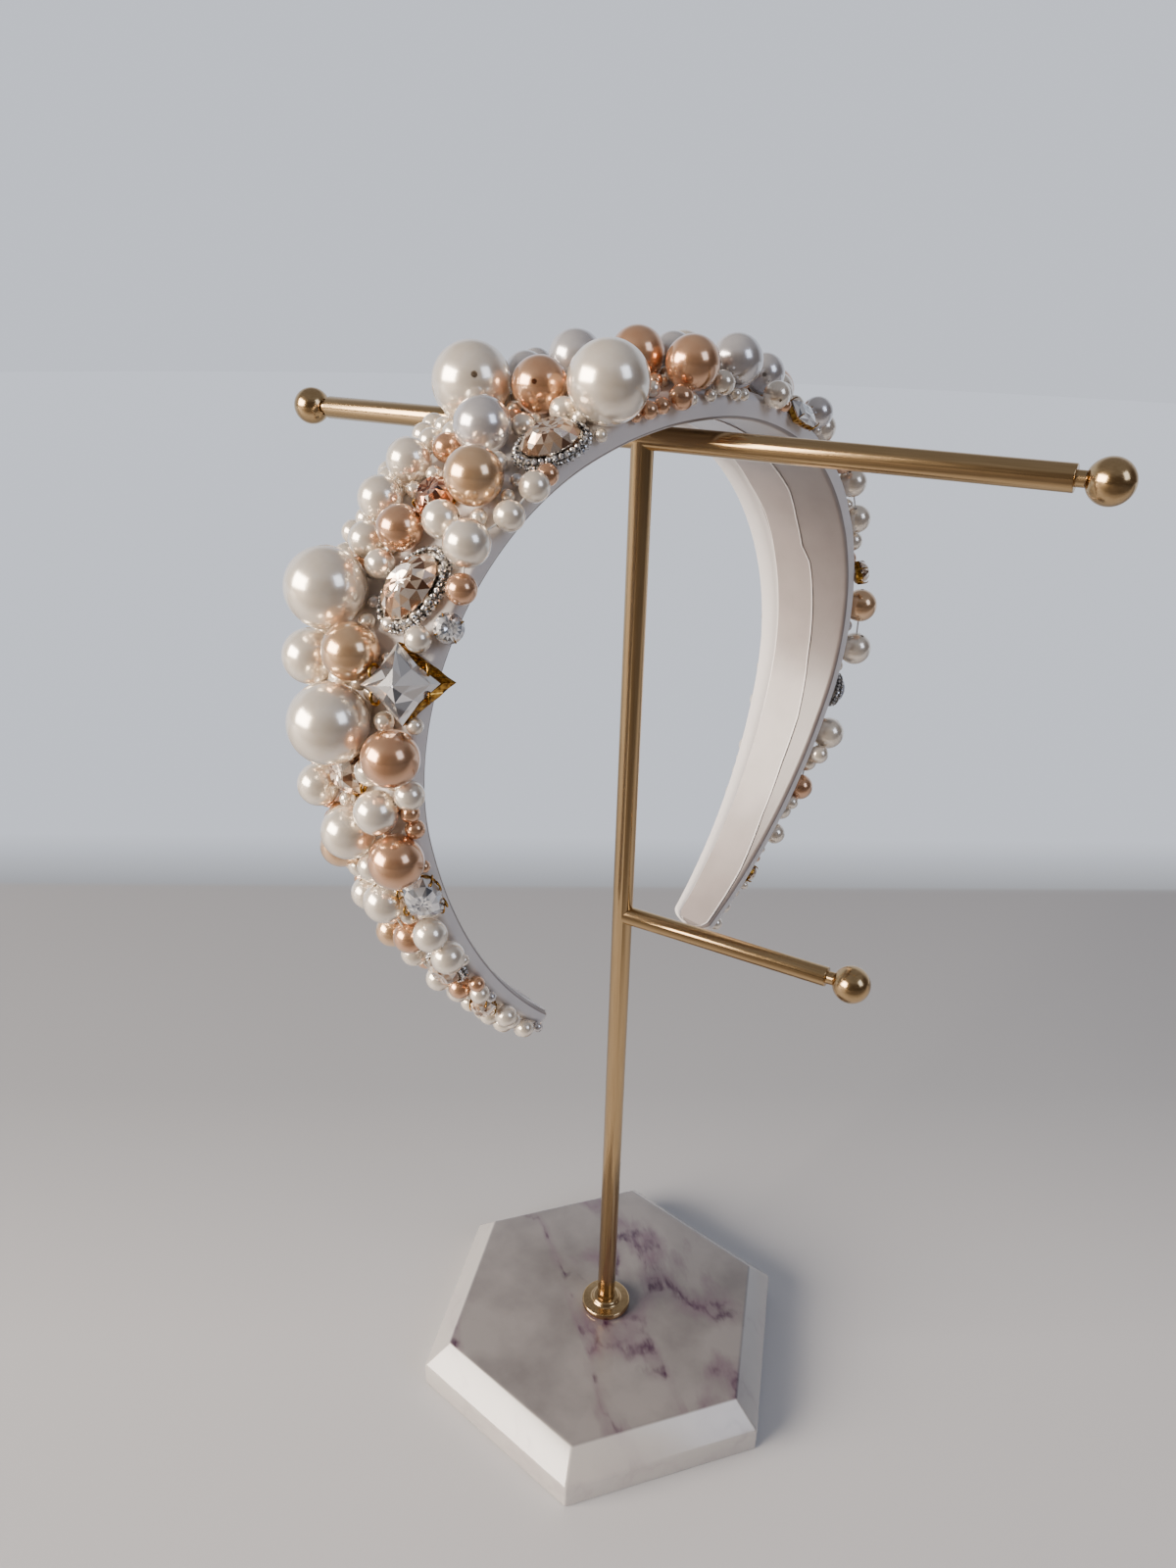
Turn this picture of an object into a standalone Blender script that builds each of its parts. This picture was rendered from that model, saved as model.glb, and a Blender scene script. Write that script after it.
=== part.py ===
"""Bridal headband of pearls and crystals, on the plain jewellery stand that holds it.

Metres, +Z up. The stand's pole is the Z axis, its crossbar runs along X, and the underside of
its base is at Z = 0. The headband hangs over the crossbar with a leg on each side of it.
"""

import math
from dataclasses import dataclass

import bmesh
import bpy
import numpy as np
from mathutils import Matrix, Vector

# Marble base: a hexagon with a bevelled top
BASE_RADIUS = 0.0562
BASE_TOP_RADIUS = 0.0484
BASE_SIDE_HEIGHT = 0.0071
BASE_HEIGHT = 0.0139
BASE_TURN = math.radians(48.6)

# Pole, crossbar and lower arm, soldered together
POLE_RADIUS = 0.0026
POLE_SOCKET_DEPTH = 0.008
BAR_HEIGHT = 0.2695
BAR_RADIUS = 0.0027
BAR_HALF_LENGTH = 0.095
ARM_HEIGHT = 0.1507
ARM_RADIUS = 0.0024
ARM_LENGTH = 0.0612
NECK_RADIUS = 0.0016
NECK_LENGTH = 0.0011
ROD_SIDES = 12

# Ball ends and the collar at the pole's foot
BALL_RADIUS = 0.0045
COLLAR_RADIUS = 0.0072
COLLAR_HEIGHT = 0.0019
COLLAR_BEVEL = 0.0006

# Fit between pieces that touch
CLEARANCE = 0.0003
SEAT_GAP = 0.0005

# Arch of the headband: three arcs on each side of the crown, measured on the inner face
CROWN_RADIUS = 0.0875
CROWN_SWEEP = math.radians(22.5)
SIDE_RADIUS = 0.061
SIDE_SWEEP = math.radians(82.4)
LEG_RADIUS = 0.126
LEG_SWEEP = math.radians(34.4)
BAND_TURN = math.radians(-14.9)
BAND_OFFSET_X = -0.0038
BAND_OFFSET_Y = 0.0046

# Padded band: flat inside, straight at the edges, domed outside
BAND_WIDTH = 0.0442
BAND_TIP_WIDTH = 0.0130
BAND_THICKNESS = 0.008
BAND_TIP_THICKNESS = 0.0045
BAND_EDGE_SHARE = 0.5
BAND_TIP_ROUND = 0.003
BAND_TIP_FLAT = 0.8
BAND_TIP_STEPS = (0.5, 0.15, 0.0)
BAND_STATIONS = 38
DOME_STEPS = 6

# Ribbon that lines the inner face
LINING_SHARE = 0.45
LINING_SHIFT_SHARE = -0.10
LINING_THICKNESS = 0.001
LINING_REACH = 0.97

# Pearls, by their diameter
PEARL_SIZES = {
    "grand": 0.016,
    "large": 0.0112,
    "medium": 0.0090,
    "small": 0.0074,
    "petite": 0.0060,
}
PEARL_SIDES = {"grand": 16, "large": 12, "medium": 10, "small": 10, "petite": 10}
THREAD_RADIUS = 0.0006
THREAD_SIDES = 5
OVERHANG_SHARE = 0.75
SETTLE_TURNS = 140
SETTLE_ROOM = 0.0006
PUSH_SHARE = 0.55
PULL_HOME = 0.06
PULL_TURNS_SHARE = 0.67

# Crystals: heights above the padding, and the stone inside its rim
SETTING_HEIGHT = 0.0016
SETTING_FOOT_SHARE = 0.86
GIRDLE_HEIGHT = 0.0026
STONE_HEIGHT_SHARE = 0.32
OUTLINE_SAMPLES = 24

TINTS = {
    "ivory": ((0.86, 0.80, 0.70, 1.0), 0.22, 0.0),
    "silver": ((0.74, 0.72, 0.72, 1.0), 0.22, 0.0),
    "champagne": ((0.72, 0.50, 0.33, 1.0), 0.24, 0.1),
    "rose": ((0.68, 0.38, 0.25, 1.0), 0.24, 0.1),
    "clear_crystal": ((0.80, 0.82, 0.84, 1.0), 0.05, 0.0),
    "champagne_crystal": ((0.62, 0.42, 0.30, 1.0), 0.06, 0.0),
    "rose_crystal": ((0.62, 0.34, 0.22, 1.0), 0.06, 0.0),
    "smoke_crystal": ((0.22, 0.20, 0.22, 1.0), 0.06, 0.0),
    "satin_white": ((0.80, 0.76, 0.74, 1.0), 0.55, 0.0),
    "ribbon_white": ((0.84, 0.79, 0.76, 1.0), 0.45, 0.0),
    "brushed_gold": ((0.62, 0.44, 0.22, 1.0), 0.32, 1.0),
    "white_marble": ((0.72, 0.70, 0.72, 1.0), 0.30, 0.0),
}

# Outline of each cut: its facets round the girdle, its roundness (2 is an ellipse, more is
# squarer, less than 1 is a star with hollow sides), the share of the setting that is stone, and
# the share of the stone that is table
CUTS = {
    "oval": {"facets": 12, "power": 2.0, "stone": 0.74, "table": 0.52},
    "round": {"facets": 10, "power": 2.0, "stone": 0.86, "table": 0.52},
    "cushion": {"facets": 12, "power": 3.4, "stone": 0.78, "table": 0.50},
    "star": {"facets": 8, "power": 0.86, "stone": 0.92, "table": 0.16},
    "baguette": {"facets": 8, "power": 12.0, "stone": 0.84, "table": 0.60},
}

# Places on the band: along is a share of the half length from the crown, less than 0 on the
# left leg; across is a share of the half width, less than 0 towards the far edge.
# Columns: cut, tint, along, across, length, width, turn in its own plane, lean over the edge
CRYSTALS = (
    ("oval", "champagne_crystal", -0.200, 0.84, 0.0165, 0.0120, 20, 14),
    ("oval", "champagne_crystal", -0.369, 0.51, 0.0195, 0.0130, 22, 8),
    ("round", "rose_crystal", -0.288, 0.14, 0.0095, 0.0095, 0, 4),
    ("round", "clear_crystal", -0.390, 1.04, 0.0062, 0.0062, 0, 50),
    ("star", "clear_crystal", -0.447, 0.80, 0.0165, 0.0165, -15, 34),
    ("cushion", "champagne_crystal", -0.540, -0.05, 0.0110, 0.0100, 0, 0),
    ("cushion", "clear_crystal", -0.668, 0.90, 0.0110, 0.0085, 0, 48),
    ("oval", "champagne_crystal", -0.795, 0.50, 0.0120, 0.0095, 0, 16),
    ("round", "champagne_crystal", -0.880, 0.60, 0.0066, 0.0066, 0, 35),
    ("baguette", "clear_crystal", 0.155, 1.02, 0.0080, 0.0055, 0, 50),
    ("oval", "champagne_crystal", 0.275, -0.20, 0.0180, 0.0120, 0, -5),
    ("round", "champagne_crystal", 0.450, 0.92, 0.0066, 0.0066, 0, 45),
    ("star", "clear_crystal", 0.475, -0.25, 0.0175, 0.0175, 0, -5),
    ("oval", "smoke_crystal", 0.610, 0.78, 0.0100, 0.0075, 0, 30),
    ("cushion", "champagne_crystal", 0.680, -0.15, 0.0110, 0.0100, 0, 0),
    ("round", "champagne_crystal", 0.890, 0.45, 0.0070, 0.0070, 0, 25),
)

# Columns: size, tint, along, across
PEARLS = (
    ("grand", "ivory", -0.180, -0.40),
    ("grand", "ivory", -0.140, 1.02),
    ("grand", "ivory", -0.390, -0.35),
    ("grand", "ivory", -0.490, 0.15),
    ("large", "rose", -0.155, 0.28),
    ("large", "silver", -0.090, 0.00),
    ("large", "rose", -0.050, 0.45),
    ("large", "silver", -0.222, 0.22),
    ("large", "champagne", -0.270, 0.70),
    ("large", "champagne", -0.432, 0.20),
    ("large", "rose", -0.495, 0.98),
    ("large", "ivory", -0.590, 0.16),
    ("large", "rose", -0.605, 1.05),
    ("large", "rose", -0.030, 0.95),
    ("large", "silver", 0.040, 0.90),
    ("large", "ivory", 0.100, -0.35),
    ("large", "rose", 0.200, 0.15),
    ("large", "champagne", 0.380, 0.05),
    ("large", "ivory", 0.575, -0.40),
)

# Each spray is a string of pearls in the order of its thread. Columns: size, tint, along, across
SPRAYS = (
    (
        ("medium", "silver", -0.120, -0.28),
        ("small", "silver", -0.085, -0.62),
        ("small", "champagne", -0.030, -0.45),
        ("small", "ivory", 0.010, -0.10),
        ("medium", "silver", 0.000, 0.42),
    ),
    (
        ("petite", "ivory", 0.090, 1.12),
        ("medium", "silver", 0.115, 0.72),
        ("small", "ivory", 0.165, 0.55),
        ("small", "silver", 0.205, 0.92),
    ),
    (
        ("small", "ivory", 0.250, 0.62),
        ("petite", "rose", 0.295, 0.88),
        ("small", "ivory", 0.330, 0.92),
        ("small", "ivory", 0.385, 0.85),
    ),
    (
        ("medium", "champagne", 0.500, 0.92),
        ("medium", "ivory", 0.555, 0.95),
        ("small", "rose", 0.570, 0.40),
    ),
    (
        ("medium", "ivory", 0.670, 0.95),
        ("petite", "ivory", 0.715, 0.70),
        ("small", "rose", 0.752, 0.80),
        ("petite", "ivory", 0.790, 0.55),
        ("petite", "ivory", 0.825, 0.75),
    ),
    (
        ("medium", "ivory", 0.625, -0.80),
        ("small", "rose", 0.690, -0.80),
        ("small", "ivory", 0.745, -0.60),
        ("petite", "ivory", 0.790, -0.40),
        ("petite", "champagne", 0.840, -0.20),
    ),
    (
        ("small", "ivory", 0.130, -0.80),
        ("medium", "ivory", 0.180, -0.70),
        ("small", "rose", 0.235, -0.85),
        ("petite", "ivory", 0.280, -0.90),
    ),
    (
        ("small", "ivory", 0.260, 0.35),
        ("medium", "ivory", 0.315, 0.35),
        ("petite", "rose", 0.350, 0.55),
    ),
    (
        ("medium", "ivory", 0.350, -0.65),
        ("small", "ivory", 0.400, -0.80),
        ("medium", "rose", 0.450, -0.90),
        ("small", "ivory", 0.510, -0.85),
    ),
    (
        ("petite", "rose", -0.242, -0.12),
        ("medium", "ivory", -0.268, -0.45),
        ("medium", "ivory", -0.310, -0.48),
        ("small", "ivory", -0.350, -0.35),
    ),
    (
        ("petite", "ivory", -0.248, 1.14),
        ("petite", "ivory", -0.282, 1.14),
        ("medium", "ivory", -0.320, 0.98),
        ("petite", "rose", -0.356, 1.14),
    ),
    (
        ("small", "ivory", -0.316, 0.54),
        ("medium", "rose", -0.330, 0.25),
        ("petite", "ivory", -0.365, 0.06),
    ),
    (
        ("petite", "ivory", -0.530, 0.55),
        ("petite", "ivory", -0.538, 1.02),
        ("medium", "silver", -0.565, 0.78),
    ),
    (
        ("medium", "champagne", -0.625, -0.50),
        ("petite", "ivory", -0.640, 0.05),
        ("medium", "ivory", -0.675, 0.42),
        ("small", "rose", -0.730, 0.45),
        ("small", "ivory", -0.722, 0.95),
        ("small", "ivory", -0.750, 1.12),
    ),
    (
        ("large", "ivory", -0.450, -0.75),
        ("small", "champagne", -0.510, -0.75),
        ("medium", "ivory", -0.560, -0.60),
    ),
    (
        ("small", "ivory", -0.690, -0.50),
        ("small", "champagne", -0.745, -0.40),
        ("petite", "ivory", -0.790, -0.40),
        ("petite", "ivory", -0.835, -0.20),
    ),
)


def clear_scene():
    """Remove whatever the scene holds before the part is modelled."""
    for stray in list(bpy.data.objects):
        bpy.data.objects.remove(stray, do_unlink=True)


def finish_named(name):
    """The Principled material of one finish in TINTS, made once."""
    found = bpy.data.materials.get(name)
    if found:
        return found
    colour, roughness, metallic = TINTS[name]
    material = bpy.data.materials.new(name)
    material.use_nodes = True
    shader = material.node_tree.nodes["Principled BSDF"]
    shader.inputs["Base Color"].default_value = colour
    shader.inputs["Roughness"].default_value = roughness
    shader.inputs["Metallic"].default_value = metallic
    material.diffuse_color = colour
    return material


def add_piece(name, mesh_data, finish):
    """A scene object from a bmesh, with its own copy of a finish."""
    bmesh.ops.recalc_face_normals(mesh_data, faces=mesh_data.faces)
    mesh = bpy.data.meshes.new(name)
    mesh_data.to_mesh(mesh)
    mesh_data.free()
    mesh.materials.append(finish_named(finish))
    piece = bpy.data.objects.new(name, mesh)
    bpy.context.scene.collection.objects.link(piece)
    return piece


def join_rings(mesh_data, rings, closed_loop=False):
    """Skin a list of equal rings of points, with a cap at each end or closed into a loop."""
    made = [[mesh_data.verts.new(point) for point in ring] for ring in rings]
    pairs = list(zip(made, made[1:]))
    if closed_loop:
        pairs.append((made[-1], made[0]))
    else:
        mesh_data.faces.new(made[0])
        mesh_data.faces.new(made[-1])
    for lower, upper in pairs:
        for index in range(len(lower)):
            after = (index + 1) % len(lower)
            mesh_data.faces.new((lower[index], lower[after], upper[after], upper[index]))


def turned(name, profile, sides, finish, place=Matrix(), turn=0.0, closed_loop=False):
    """A turned piece. The profile is a list of (radius, height) along the piece's own Z."""
    mesh_data = bmesh.new()
    rings = []
    for radius, height in profile:
        angles = [turn + 2 * math.pi * step / sides for step in range(sides)]
        rings.append([place @ Vector((radius * math.cos(a), radius * math.sin(a), height)) for a in angles])
    join_rings(mesh_data, rings, closed_loop)
    return add_piece(name, mesh_data, finish)


def boolean(target, other, operation):
    """Cut another piece from the target, or fuse it with the target, and remove the other."""
    modifier = target.modifiers.new(operation.lower(), "BOOLEAN")
    modifier.operation = operation
    modifier.solver = "EXACT"
    modifier.object = other
    bpy.context.view_layer.update()
    graph = bpy.context.evaluated_depsgraph_get()
    result = bpy.data.meshes.new_from_object(target.evaluated_get(graph))
    target.modifiers.remove(modifier)
    target.data = result
    bpy.data.objects.remove(other, do_unlink=True)


def build_base():
    """Hexagonal marble base with a blind socket for the pole."""
    profile = (
        (BASE_RADIUS, 0.0),
        (BASE_RADIUS, BASE_SIDE_HEIGHT),
        (BASE_TOP_RADIUS, BASE_HEIGHT),
    )
    base = turned("stand_base", profile, 6, "white_marble", turn=BASE_TURN)
    socket_floor = BASE_HEIGHT - POLE_SOCKET_DEPTH
    bore = (
        (POLE_RADIUS + CLEARANCE, socket_floor),
        (POLE_RADIUS + CLEARANCE, BASE_HEIGHT + POLE_SOCKET_DEPTH),
    )
    boolean(base, turned("pole_socket", bore, ROD_SIDES, "white_marble"), "DIFFERENCE")


def build_collar():
    """Flat gold collar round the pole's foot, resting on the marble."""
    inner = POLE_RADIUS + CLEARANCE
    bottom = BASE_HEIGHT + CLEARANCE
    top = bottom + COLLAR_HEIGHT
    profile = (
        (inner, bottom),
        (COLLAR_RADIUS, bottom),
        (COLLAR_RADIUS, top - COLLAR_BEVEL),
        (COLLAR_RADIUS - COLLAR_BEVEL, top),
        (inner, top),
    )
    turned("stand_collar", profile, 2 * ROD_SIDES, "brushed_gold", closed_loop=True)


def rod_end(reach, radius, direction):
    """Profile from a rod's full radius down to the thin neck that carries a ball end."""
    neck_end = reach - BALL_RADIUS - CLEARANCE
    rod_stop = neck_end - NECK_LENGTH
    return [
        (radius, direction * rod_stop),
        (NECK_RADIUS, direction * rod_stop),
        (NECK_RADIUS, direction * neck_end),
    ]


def build_frame():
    """Pole, crossbar and lower arm as one soldered solid."""
    along_x = Matrix.Rotation(math.pi / 2, 4, "Y")
    pole_foot = BASE_HEIGHT - POLE_SOCKET_DEPTH + CLEARANCE
    pole = turned(
        "stand_frame",
        ((POLE_RADIUS, pole_foot), (POLE_RADIUS, BAR_HEIGHT)),
        ROD_SIDES,
        "brushed_gold",
    )
    bar_profile = rod_end(BAR_HALF_LENGTH, BAR_RADIUS, -1)[::-1]
    bar_profile += rod_end(BAR_HALF_LENGTH, BAR_RADIUS, 1)
    bar_place = Matrix.Translation((0, 0, BAR_HEIGHT)) @ along_x
    bar = turned("crossbar", bar_profile, ROD_SIDES, "brushed_gold", bar_place)
    arm_profile = [(ARM_RADIUS, 0.0)] + rod_end(ARM_LENGTH, ARM_RADIUS, 1)
    arm_place = Matrix.Translation((0, 0, ARM_HEIGHT)) @ along_x
    arm = turned("lower_arm", arm_profile, ROD_SIDES, "brushed_gold", arm_place)
    boolean(pole, bar, "UNION")
    boolean(pole, arm, "UNION")


def sphere_rings(centre, radius, sides):
    """Rings of points of a ball, without its two poles."""
    levels = sides // 2
    rings = []
    for level in range(1, levels):
        polar = math.pi * level / levels
        reach, height = radius * math.sin(polar), -radius * math.cos(polar)
        angles = [2 * math.pi * step / sides for step in range(sides)]
        rings.append([centre + Vector((reach * math.cos(a), reach * math.sin(a), height)) for a in angles])
    return rings


def add_sphere(mesh_data, centre, radius, sides):
    """Add one closed faceted ball to a bmesh."""
    rings = [[mesh_data.verts.new(p) for p in ring] for ring in sphere_rings(centre, radius, sides)]
    bottom = mesh_data.verts.new(centre - Vector((0, 0, radius)))
    top = mesh_data.verts.new(centre + Vector((0, 0, radius)))
    for index in range(sides):
        after = (index + 1) % sides
        mesh_data.faces.new((bottom, rings[0][after], rings[0][index]))
        mesh_data.faces.new((top, rings[-1][index], rings[-1][after]))
        for lower, upper in zip(rings, rings[1:]):
            mesh_data.faces.new((lower[index], lower[after], upper[after], upper[index]))


def build_ball(name, centre, radius, sides, finish):
    """A single ball."""
    mesh_data = bmesh.new()
    add_sphere(mesh_data, Vector(centre), radius, sides)
    add_piece(name, mesh_data, finish)


def half_length():
    """Length of the arch from the crown to a tip, along the inner face."""
    return CROWN_RADIUS * CROWN_SWEEP + SIDE_RADIUS * SIDE_SWEEP + LEG_RADIUS * LEG_SWEEP


def arch_point(along):
    """Sideways reach, height and heading of the inner face, at a signed distance from the crown."""
    reach, height, heading = 0.0, 0.0, 0.0
    left = abs(along)
    arcs = ((CROWN_RADIUS, CROWN_SWEEP), (SIDE_RADIUS, SIDE_SWEEP), (LEG_RADIUS, LEG_SWEEP))
    for number, (radius, sweep) in enumerate(arcs):
        turn = left / radius
        if number < len(arcs) - 1:
            turn = min(turn, sweep)
        reach += radius * (math.sin(heading + turn) - math.sin(heading))
        height -= radius * (math.cos(heading) - math.cos(heading + turn))
        heading += turn
        left -= turn * radius
        if left <= 0:
            break
    return math.copysign(reach, along), height, math.copysign(heading, along)


ACROSS_AXIS = Vector((math.cos(BAND_TURN), math.sin(BAND_TURN), 0))
REACH_AXIS = Vector((-math.sin(BAND_TURN), math.cos(BAND_TURN), 0))
UP_AXIS = Vector((0, 0, 1))


def crown_height():
    """Height of the inner face at the crown, with the lining just clear of the crossbar."""
    half_lining = LINING_SHARE * BAND_WIDTH / 2
    middle = LINING_SHIFT_SHARE * BAND_WIDTH / 2
    drops = []
    for across in (middle - half_lining, middle + half_lining):
        reach = (BAND_OFFSET_Y + across * math.sin(BAND_TURN)) / math.cos(BAND_TURN)
        drops.append(CROWN_RADIUS - math.sqrt(CROWN_RADIUS**2 - reach**2))
    stack = SEAT_GAP + LINING_THICKNESS + CLEARANCE + max(drops)
    return BAR_HEIGHT + BAR_RADIUS + stack


def band_axes(along):
    """Point on the inner face at mid-width, with the along and outward directions there."""
    reach, height, heading = arch_point(along)
    crown = Vector((BAND_OFFSET_X, BAND_OFFSET_Y, crown_height()))
    point = crown + reach * REACH_AXIS + height * UP_AXIS
    outward = math.sin(heading) * REACH_AXIS + math.cos(heading) * UP_AXIS
    forward = math.cos(heading) * REACH_AXIS - math.sin(heading) * UP_AXIS
    return point, forward, outward


def on_band(along, across, up):
    """World point over the band: along from the crown, across from mid-width, up from the inner face."""
    point, _, outward = band_axes(along)
    return point + across * ACROSS_AXIS + up * outward


def tapered(at_crown, at_tip, along):
    """A size that changes evenly from the crown to the tips."""
    return at_crown + (at_tip - at_crown) * min(1.0, abs(along) / half_length())


def band_width(along):
    """Full width of the band at a distance from the crown."""
    return tapered(BAND_WIDTH, BAND_TIP_WIDTH, along)


def band_thickness(along):
    """Full thickness of the padding at a distance from the crown."""
    return tapered(BAND_THICKNESS, BAND_TIP_THICKNESS, along)


def dome_points(width, thickness, steps):
    """Outer side of the padded section, as (across, up) from the near edge to the far edge."""
    edge = thickness * BAND_EDGE_SHARE
    angles = [math.pi / 2 * (1 - 2 * step / steps) for step in range(steps + 1)]
    return [(width / 2 * math.sin(a), edge + (thickness - edge) * math.cos(a)) for a in angles]


def band_section(width, thickness):
    """Closed padded section: softened inner corners, then the dome."""
    corner = thickness * BAND_EDGE_SHARE / 3
    inner = [
        (-width / 2, corner),
        (-width / 2 + corner, 0.0),
        (width / 2 - corner, 0.0),
        (width / 2, corner),
    ]
    return inner + dome_points(width, thickness, DOME_STEPS)


def station_list(reach_share):
    """Evenly spaced distances along the arch, out to a share of each leg."""
    end = half_length() * reach_share
    return [end * (2 * step / BAND_STATIONS - 1) for step in range(BAND_STATIONS + 1)]


def tip_scale(along):
    """How far a section is drawn in near a tip, for a rounded end."""
    left = half_length() - abs(along)
    if left >= BAND_TIP_ROUND:
        return 1.0
    return math.sqrt(1 - BAND_TIP_FLAT * (1 - left / BAND_TIP_ROUND) ** 2)


def build_band():
    """Padded band, covered in ribbed satin."""
    middle = station_list(1 - BAND_TIP_ROUND / half_length())
    tips = [half_length() - BAND_TIP_ROUND * share for share in BAND_TIP_STEPS]
    stations = [-tip for tip in reversed(tips)] + middle + tips
    rings = []
    for along in stations:
        scale = tip_scale(along)
        section = band_section(band_width(along) * scale, band_thickness(along))
        rings.append([on_band(along, across, up) for across, up in section])
    mesh_data = bmesh.new()
    join_rings(mesh_data, rings)
    add_piece("headband_band", mesh_data, "satin_white")


def build_lining():
    """Satin ribbon on the inner face, a little towards the far edge."""
    rings = []
    for along in station_list(1 - BAND_TIP_ROUND / half_length()):
        if abs(along) > LINING_REACH * half_length():
            continue
        half = LINING_SHARE * band_width(along) / 2
        middle = LINING_SHIFT_SHARE * band_width(along) / 2
        top, bottom = -CLEARANCE, -CLEARANCE - LINING_THICKNESS
        corners = ((-half, top), (half, top), (half, bottom), (-half, bottom))
        rings.append([on_band(along, middle + across, up) for across, up in corners])
    mesh_data = bmesh.new()
    join_rings(mesh_data, rings)
    add_piece("headband_lining", mesh_data, "ribbon_white")


def rest_height(along, across, reach):
    """Height over the inner face at which a ball of this reach rests on the padding."""
    width, thickness = band_width(along), band_thickness(along)
    heights = [thickness * BAND_EDGE_SHARE / 2]
    for side, up in dome_points(width, thickness, 4 * DOME_STEPS):
        if abs(side - across) < reach:
            heights.append(up + math.sqrt(reach**2 - (side - across) ** 2))
    return max(heights)


class Crystal:
    """A faceted stone fused to its setting, and the room that it takes on the band."""

    def __init__(self, row):
        self.cut, self.tint, along, across, self.length, self.width, turn, lean = row
        self.along = along * half_length()
        self.shape = CUTS[self.cut]
        lean, turn = math.radians(lean), math.radians(turn)
        _, forward, outward = band_axes(self.along)
        side = math.cos(lean) * ACROSS_AXIS - math.sin(lean) * outward
        self.normal = math.cos(lean) * outward + math.sin(lean) * ACROSS_AXIS
        self.long_axis = math.cos(turn) * forward + math.sin(turn) * side
        self.short_axis = math.cos(turn) * side - math.sin(turn) * forward
        middle = across * band_width(self.along) / 2
        self.origin = on_band(self.along, middle, self.seat(middle, lean))
        self.height = SETTING_HEIGHT + STONE_HEIGHT_SHARE * min(self.length, self.width)
        self.samples = np.array([list(point) for point in self.sample_points()])

    def outline(self, angle):
        """Offset from the centre to the setting's edge, in the stone's own plane."""
        power = self.shape["power"]
        cos, sin = math.cos(angle), math.sin(angle)
        reach = (abs(cos) ** power + abs(sin) ** power) ** (-1 / power)
        return reach * cos * self.length / 2, reach * sin * self.width / 2

    def seat(self, middle, lean):
        """Height of the base's centre over the inner face, with the leaning base on the dome."""
        half = band_width(self.along) / 2
        thickness = band_thickness(self.along)
        edge = thickness * BAND_EDGE_SHARE
        rise = thickness - edge
        touch = math.atan(math.tan(lean) * half / rise)
        touch_up = edge + rise * math.cos(touch)
        slide = middle - half * math.sin(touch)
        return touch_up + CLEARANCE / math.cos(lean) - slide * math.tan(lean)

    def ring(self, share, up, count):
        """Points of the outline at a share of its size, at a height over the base."""
        points = []
        for step in range(count):
            x, y = self.outline(2 * math.pi * step / count)
            offset = share * (x * self.long_axis + y * self.short_axis)
            points.append(self.origin + offset + up * self.normal)
        return points

    def sample_points(self):
        """Points that stand for the whole piece where a ball has to stay clear of it."""
        stone, table = self.shape["stone"], self.shape["table"]
        points = []
        for share, up in (
            (1.0, 0.0),
            (1.0, SETTING_HEIGHT),
            (stone, GIRDLE_HEIGHT),
            (stone * table, self.height),
            (stone * (1 + table) / 2, (GIRDLE_HEIGHT + self.height) / 2),
            (stone * table / 2, self.height),
        ):
            points += self.ring(share, up, OUTLINE_SAMPLES)
        return points

    def build(self, name):
        """Setting and stone as one lofted solid with a flat table."""
        stone, table = self.shape["stone"], self.shape["table"]
        levels = (
            (SETTING_FOOT_SHARE, 0.0),
            (1.0, SETTING_HEIGHT / 2),
            (1.0, SETTING_HEIGHT),
            (stone, SETTING_HEIGHT),
            (stone, GIRDLE_HEIGHT),
            (stone * table, self.height),
        )
        mesh_data = bmesh.new()
        join_rings(mesh_data, [self.ring(share, up, self.shape["facets"]) for share, up in levels])
        add_piece(name, mesh_data, self.tint)


@dataclass
class Pearl:
    """One pearl: its size, its tint and its place, along and across in metres."""

    size: str
    tint: str
    along: float
    across: float
    lift: float = 0.0

    def __post_init__(self):
        self.along *= half_length()
        self.across *= band_width(self.along) / 2
        self.home = (self.along, self.across)
        self.radius = PEARL_SIZES[self.size] / 2

    def centre(self):
        """Centre of the pearl at rest on the padding, kept from sliding off an edge."""
        reach = self.radius + CLEARANCE
        limit = band_width(self.along) / 2 + OVERHANG_SHARE * reach
        self.across = max(-limit, min(limit, self.across))
        up = rest_height(self.along, self.across, reach) + self.lift
        return on_band(self.along, self.across, up)

    def shift(self, along, across):
        """Move the pearl over the band."""
        self.along += along
        self.across += across


def part_pair(first, second):
    """Push two pearls apart where they meet, the smaller one further."""
    if abs(first.along - second.along) > 2 * (first.radius + second.radius):
        return
    offset = second.centre() - first.centre()
    apart = offset.length
    miss = first.radius + second.radius + SETTLE_ROOM - apart
    if miss <= 0:
        return
    along = second.along - first.along
    across = second.across - first.across
    flat = math.hypot(along, across) or 1.0
    heavy, light = first.radius**3, second.radius**3
    share = light / (heavy + light)
    step = miss * PUSH_SHARE
    first.shift(-along / flat * step * share, -across / flat * step * share)
    second.shift(along / flat * step * (1 - share), across / flat * step * (1 - share))


def push_off(pearl, crystal):
    """Push a pearl away from a crystal where they meet."""
    if abs(pearl.along - crystal.along) > crystal.length + pearl.radius:
        return
    centre = pearl.centre()
    offsets = np.array(centre) - crystal.samples
    distances = np.linalg.norm(offsets, axis=1)
    miss = pearl.radius + SETTLE_ROOM - float(distances.min())
    if miss <= 0:
        return
    _, forward, _ = band_axes(pearl.along)
    away = centre - crystal.origin
    along, across = away.dot(forward), away.dot(ACROSS_AXIS)
    flat = math.hypot(along, across) or 1.0
    pearl.shift(along / flat * miss * PUSH_SHARE, across / flat * miss * PUSH_SHARE)


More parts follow.
